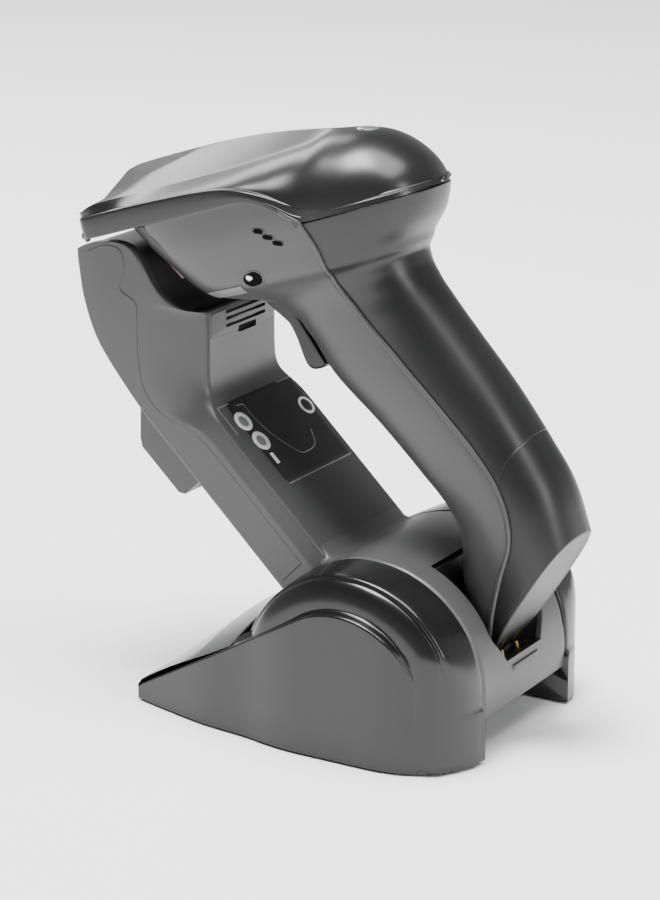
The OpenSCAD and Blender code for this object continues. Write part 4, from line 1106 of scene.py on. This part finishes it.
CARRIED = {
    "base_plate": ("Black matte", "black_matte"), "base_screws": ("Steel", "steel"),
    "rubber_feet": ("Rubber", "rubber"), "ballast_plate": ("Zinc weight", "weight"),
    "pivot_pins": ("Steel", "steel"), "friction_washers": ("Washer", "polymer"),
    "pocket_liner": ("Black matte", "black_matte"), "page_switch": ("Black matte", "black_matte"),
    "connector_cover": ("Panel grey", "panel_grey"), "data_jack": ("Black matte", "black_matte"),
    "power_jack": ("Black matte", "black_matte"), "cradle_board": ("Board", "board"),
    "contact_block": ("Black matte", "black_matte"), "charge_pins": ("Gold plate", "gold"),
    "cradle_screws": ("Steel", "steel"), "scan_window": ("Red window", "red_window"),
    "trigger_pin": ("Steel", "steel"), "trigger_switch": ("Black matte", "black_matte"),
    "beeper": ("Black matte", "black_matte"), "engine_chassis": ("Zinc weight", "zinc_cast"),
    "engine_lens": ("Lens", "lens"), "aiming_lens": ("Green lens", "lens"), "led_pair": ("Lamp", "led"),
    "engine_board": ("Board", "board"), "main_board": ("Board", "board"), "handle_board": ("Board", "board"),
    "battery_cell": ("Cell wrap", "cell_wrap"), "battery_contacts": ("Gold plate", "gold"),
    "charge_pads": ("Gold plate", "gold"), "cap_screw": ("Steel", "steel")}


def finish_carried():
    """Gives every part that is shown as packed its finish, with small bevels on its edges."""
    for name, (look, slot) in CARRIED.items():
        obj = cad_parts[name]
        obj.data.materials.clear()
        obj.data.materials.append(bpy.data.materials[look])
        mod = obj.modifiers.new("Edges", "BEVEL")
        mod.width = 0.00015
        mod.segments = 2
        mod.limit_method = "ANGLE"
        mod.angle_limit = np.radians(40)


# ---------------------------------------------------------------- studio

def softbox(name, size, at, aim, power):
    """A rectangular soft light at a point, aimed at another."""
    data = bpy.data.lights.new(name, "AREA")
    data.shape = "RECTANGLE"
    data.size, data.size_y = size
    data.energy = power
    obj = bpy.data.objects.new(name, data)
    bpy.context.scene.collection.objects.link(obj)
    way = np.array(aim, float) - np.array(at, float)
    obj.location = at
    flat = np.hypot(way[0], way[1])
    obj.rotation_euler = (np.arctan2(flat, -way[2]), 0, np.arctan2(-way[0], way[1]))
    return obj


def make_stage(settings):
    """Makes the floor, the lights, the sky and the camera."""
    size = settings.floor_size
    mesh = bpy.data.meshes.new("studio_floor")
    half = size / 2
    mesh.from_pydata([(-half, -half, 0), (half, -half, 0), (half, half, 0), (-half, half, 0)], [],
        [(0, 1, 2, 3)])
    floor = bpy.data.objects.new("studio_floor", mesh)
    bpy.context.scene.collection.objects.link(floor)
    mat = bpy.data.materials.new("Studio floor")
    mat.use_nodes = True
    body = mat.node_tree.nodes["Principled BSDF"]
    body.inputs["Base Color"].default_value = (0.9, 0.9, 0.9, 1)
    body.inputs["Roughness"].default_value = 0.8
    mesh.materials.append(mat)
    world = bpy.data.worlds.new("Studio")
    world.use_nodes = True
    nodes, link = world.node_tree.nodes, world.node_tree.links.new
    way = nodes.new("ShaderNodeTexCoord")
    split = nodes.new("ShaderNodeSeparateXYZ")
    fall = nodes.new("ShaderNodeMapRange")
    fall.interpolation_type = "SMOOTHSTEP"
    fall.inputs["From Min"].default_value = -0.05
    fall.inputs["From Max"].default_value = 0.75
    fall.inputs["To Min"].default_value = settings.sky_strength
    fall.inputs["To Max"].default_value = settings.sky_strength * 0.12
    nodes["Background"].inputs["Color"].default_value = (0.97, 0.98, 1, 1)
    link(way.outputs["Generated"], split.inputs["Vector"])
    link(split.outputs["Z"], fall.inputs["Value"])
    link(fall.outputs["Result"], nodes["Background"].inputs["Strength"])
    bpy.context.scene.world = world
    power = settings.key_power
    softbox("Key", (1.0, 1.0), (-0.1, 0.35, 1.6), (0, -0.02, 0.1), power)
    softbox("Nose", (0.8, 0.5), (-0.6, -1.1, 0.95), (0, -0.05, 0.15), power * 0.35)
    softbox("Side", (0.35, 1.0), (0.1, 1.5, 0.75), (0, 0, 0.1), power * 0.4)
    softbox("Wide", (1.8, 1.8), (0.5, -0.5, 4.0), (0, 0, 0), power * 12.0)
    data = bpy.data.cameras.new("Camera")
    data.lens = settings.focal_length
    data.sensor_width = 36.0
    cam = bpy.data.objects.new("Camera", data)
    bpy.context.scene.collection.objects.link(cam)
    cam.location = (0.8167, 0.4538, 0.3734)
    cam.rotation_euler = (np.radians(73.15), 0, np.radians(120.85))
    bpy.context.scene.camera = cam


# ---------------------------------------------------------------- add-on

class ScannerSettings(bpy.types.PropertyGroup):
    """Sizes and colours that can be changed before the pieces are made."""
    shell_colour: FloatVectorProperty(
        name="Shell colour", description="Colour of the scanner's light front shell",
        subtype="COLOR", size=3, min=0.0, max=1.0, default=(0.05, 0.05, 0.0512))
    cradle_colour: FloatVectorProperty(
        name="Cradle colour", description="Colour of the cradle's arm",
        subtype="COLOR", size=3, min=0.0, max=1.0, default=(0.05, 0.05, 0.0512))
    grain_depth: FloatProperty(
        name="Grain depth", description="Strength of the moulded grain on the shells",
        min=0.0, max=1.0, default=0.1)
    floor_size: FloatProperty(
        name="Floor size", description="Width of the studio floor", unit="LENGTH",
        min=1.0, max=60.0, default=30.0)
    key_power: FloatProperty(
        name="Key power", description="Power of the main soft light", unit="POWER",
        min=0.0, max=500.0, default=32.0)
    sky_strength: FloatProperty(
        name="Sky strength", description="Brightness of the studio's surroundings",
        min=0.0, max=5.0, default=0.6)
    focal_length: FloatProperty(
        name="Focal length", description="Focal length of the camera, in millimetres",
        min=20.0, max=300.0, default=120.0)


class PieceOperator:
    """Shared run of an operator that makes pieces."""
    bl_options = {"REGISTER", "UNDO"}

    def execute(self, context):
        self.make(context.scene.scanner_settings)
        return {"FINISHED"}


class SCANNER_OT_finishes(PieceOperator, bpy.types.Operator):
    """Make the finishes and give them to the parts that are shown as packed"""
    bl_idname = "scanner.finishes"
    bl_label = "Finishes"

    def make(self, settings):
        make_finishes(settings)
        finish_carried()


class SCANNER_OT_base(PieceOperator, bpy.types.Operator):
    """Make the skin of the base moulding"""
    bl_idname = "scanner.base"
    bl_label = "Base"

    def make(self, settings):
        place(base_frame(), "base", "Black gloss", "black_gloss", "base_frame")


class SCANNER_OT_cradle(PieceOperator, bpy.types.Operator):
    """Make the skins of the cradle: arm, drum, face cover, panels and marks"""
    bl_idname = "scanner.cradle"
    bl_label = "Cradle"

    def make(self, settings):
        arm, barrel = cradle_body()
        place(arm, "cradle", "Cradle grey", "cradle_grey", "cradle_body")
        place(barrel, "cradle", "Cradle grey", "cradle_grey", "cradle_body")
        # the face cover takes the darker grey: painted shade on the arm's flat
        place(build("face_cover_skin", [face_cover()], inside=from_arm(0, -80, 0.0)), "cradle", "Face grey with painted shade",
              "panel_grey", "cradle_face")
        place(film(), "cradle", "Film", "film", "face_film")
        place(marks(), "cradle", "Line mark", "light_pipe")
        place(rings(), "cradle", "Pale mark", "light_pipe", "indicator_rings")
        place(ring_caps(), "cradle", "Status cap", "light_pipe", "indicator_rings")
        ring, cap = page_button()
        place(ring, "page_button", "Pale mark", "light_pipe", "page_button")
        place(cap, "page_button", "Film", "film", "page_button")
        plate, slots = vent_panel()
        place(plate, "cradle", "Panel grey", "panel_grey", "vent_panel")
        # dark plates of painted shade where the vent slots would be open
        place(slots, "cradle", "Hole shade black", "black_matte", "vent_panel")
        panel = side_panel()
        place(build("side_panel_left_skin", [panel], inside=(0, -60, 80)), "cradle", "Panel grey",
              "panel_grey", "side_panel_left")
        place(build("side_panel_right_skin", [mirrored(panel)], inside=(0, -60, 80)), "cradle", "Panel grey",
              "panel_grey", "side_panel_right")
        place(lip_tab(), "cradle", "Cradle grey", "cradle_grey")


class SCANNER_OT_scanner(PieceOperator, bpy.types.Operator):
    """Make the skins of the scanner: hood, shells, battery cap, bezel and trigger"""
    bl_idname = "scanner.scanner"
    bl_label = "Scanner"

    def make(self, settings):
        place(hood(), "scanner", "Hood shell", "hood_shell", "top_shell")
        place(front_shell(), "scanner", "Light shell", "grey_shell", "front_shell")
        place(rear_shell(), "scanner", "Dark shell", "dark_shell", "rear_shell")
        place(battery_cap(), "scanner", "Cap shell", "dark_shell", "battery_cap")
        place(nose_bezel(), "scanner", "Black matte", "black_matte", "window_bezel")
        place(trigger(), "trigger", "Dark shell", "dark_shell", "trigger")


class SCANNER_OT_details(PieceOperator, bpy.types.Operator):
    """Make the small parts of the scanner: vents, screw recesses, lamp and label"""
    bl_idname = "scanner.details"
    bl_label = "Details"

    def make(self, settings):
        rims, floors = flank_vents()
        place(rims, "scanner", "Light shell", "grey_shell")
        # painted shade inside the vents
        place(floors, "scanner", "Hole shade black", "black_matte")
        rims, floors, heads = flank_screws()
        place(rims, "scanner", "Light shell", "grey_shell")
        # painted shade inside the screw recesses
        place(floors, "scanner", "Hole shade black", "black_matte")
        place(heads, "scanner", "Steel", "steel", "shell_screws")
        place(lamp_lens(), "scanner", "Lamp", "led", "good_read_lamp")
        place(label(), "scanner", "Label silver", "label", "blank_label")


class SCANNER_OT_stage(PieceOperator, bpy.types.Operator):
    """Make the studio: floor, soft lights, surroundings and camera"""
    bl_idname = "scanner.stage"
    bl_label = "Studio"

    def make(self, settings):
        make_stage(settings)


OPERATORS = (SCANNER_OT_finishes, SCANNER_OT_base, SCANNER_OT_cradle, SCANNER_OT_scanner,
             SCANNER_OT_details, SCANNER_OT_stage)


class SCANNER_PT_panel(bpy.types.Panel):
    """Settings and buttons for every group of pieces"""
    bl_idname = "SCANNER_PT_panel"
    bl_label = "Scanner"
    bl_space_type = "VIEW_3D"
    bl_region_type = "UI"
    bl_category = "Scanner"

    def draw(self, context):
        settings = context.scene.scanner_settings
        for name in ("shell_colour", "cradle_colour", "grain_depth", "floor_size", "key_power",
                     "sky_strength", "focal_length"):
            self.layout.prop(settings, name)
        for cls in OPERATORS:
            self.layout.operator(cls.bl_idname)


def register():
    """Adds the settings, the operators and the panel."""
    for cls in (ScannerSettings,) + OPERATORS + (SCANNER_PT_panel,):
        bpy.utils.register_class(cls)
    bpy.types.Scene.scanner_settings = PointerProperty(type=ScannerSettings)


def unregister():
    """Takes the settings, the operators and the panel away."""
    del bpy.types.Scene.scanner_settings
    for cls in reversed((ScannerSettings,) + OPERATORS + (SCANNER_PT_panel,)):
        bpy.utils.unregister_class(cls)


def main():
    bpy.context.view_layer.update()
    register()
    for cls in OPERATORS:
        group, name = cls.bl_idname.split(".")
        getattr(getattr(bpy.ops, group), name)()


if __name__ == "__main__":
    main()
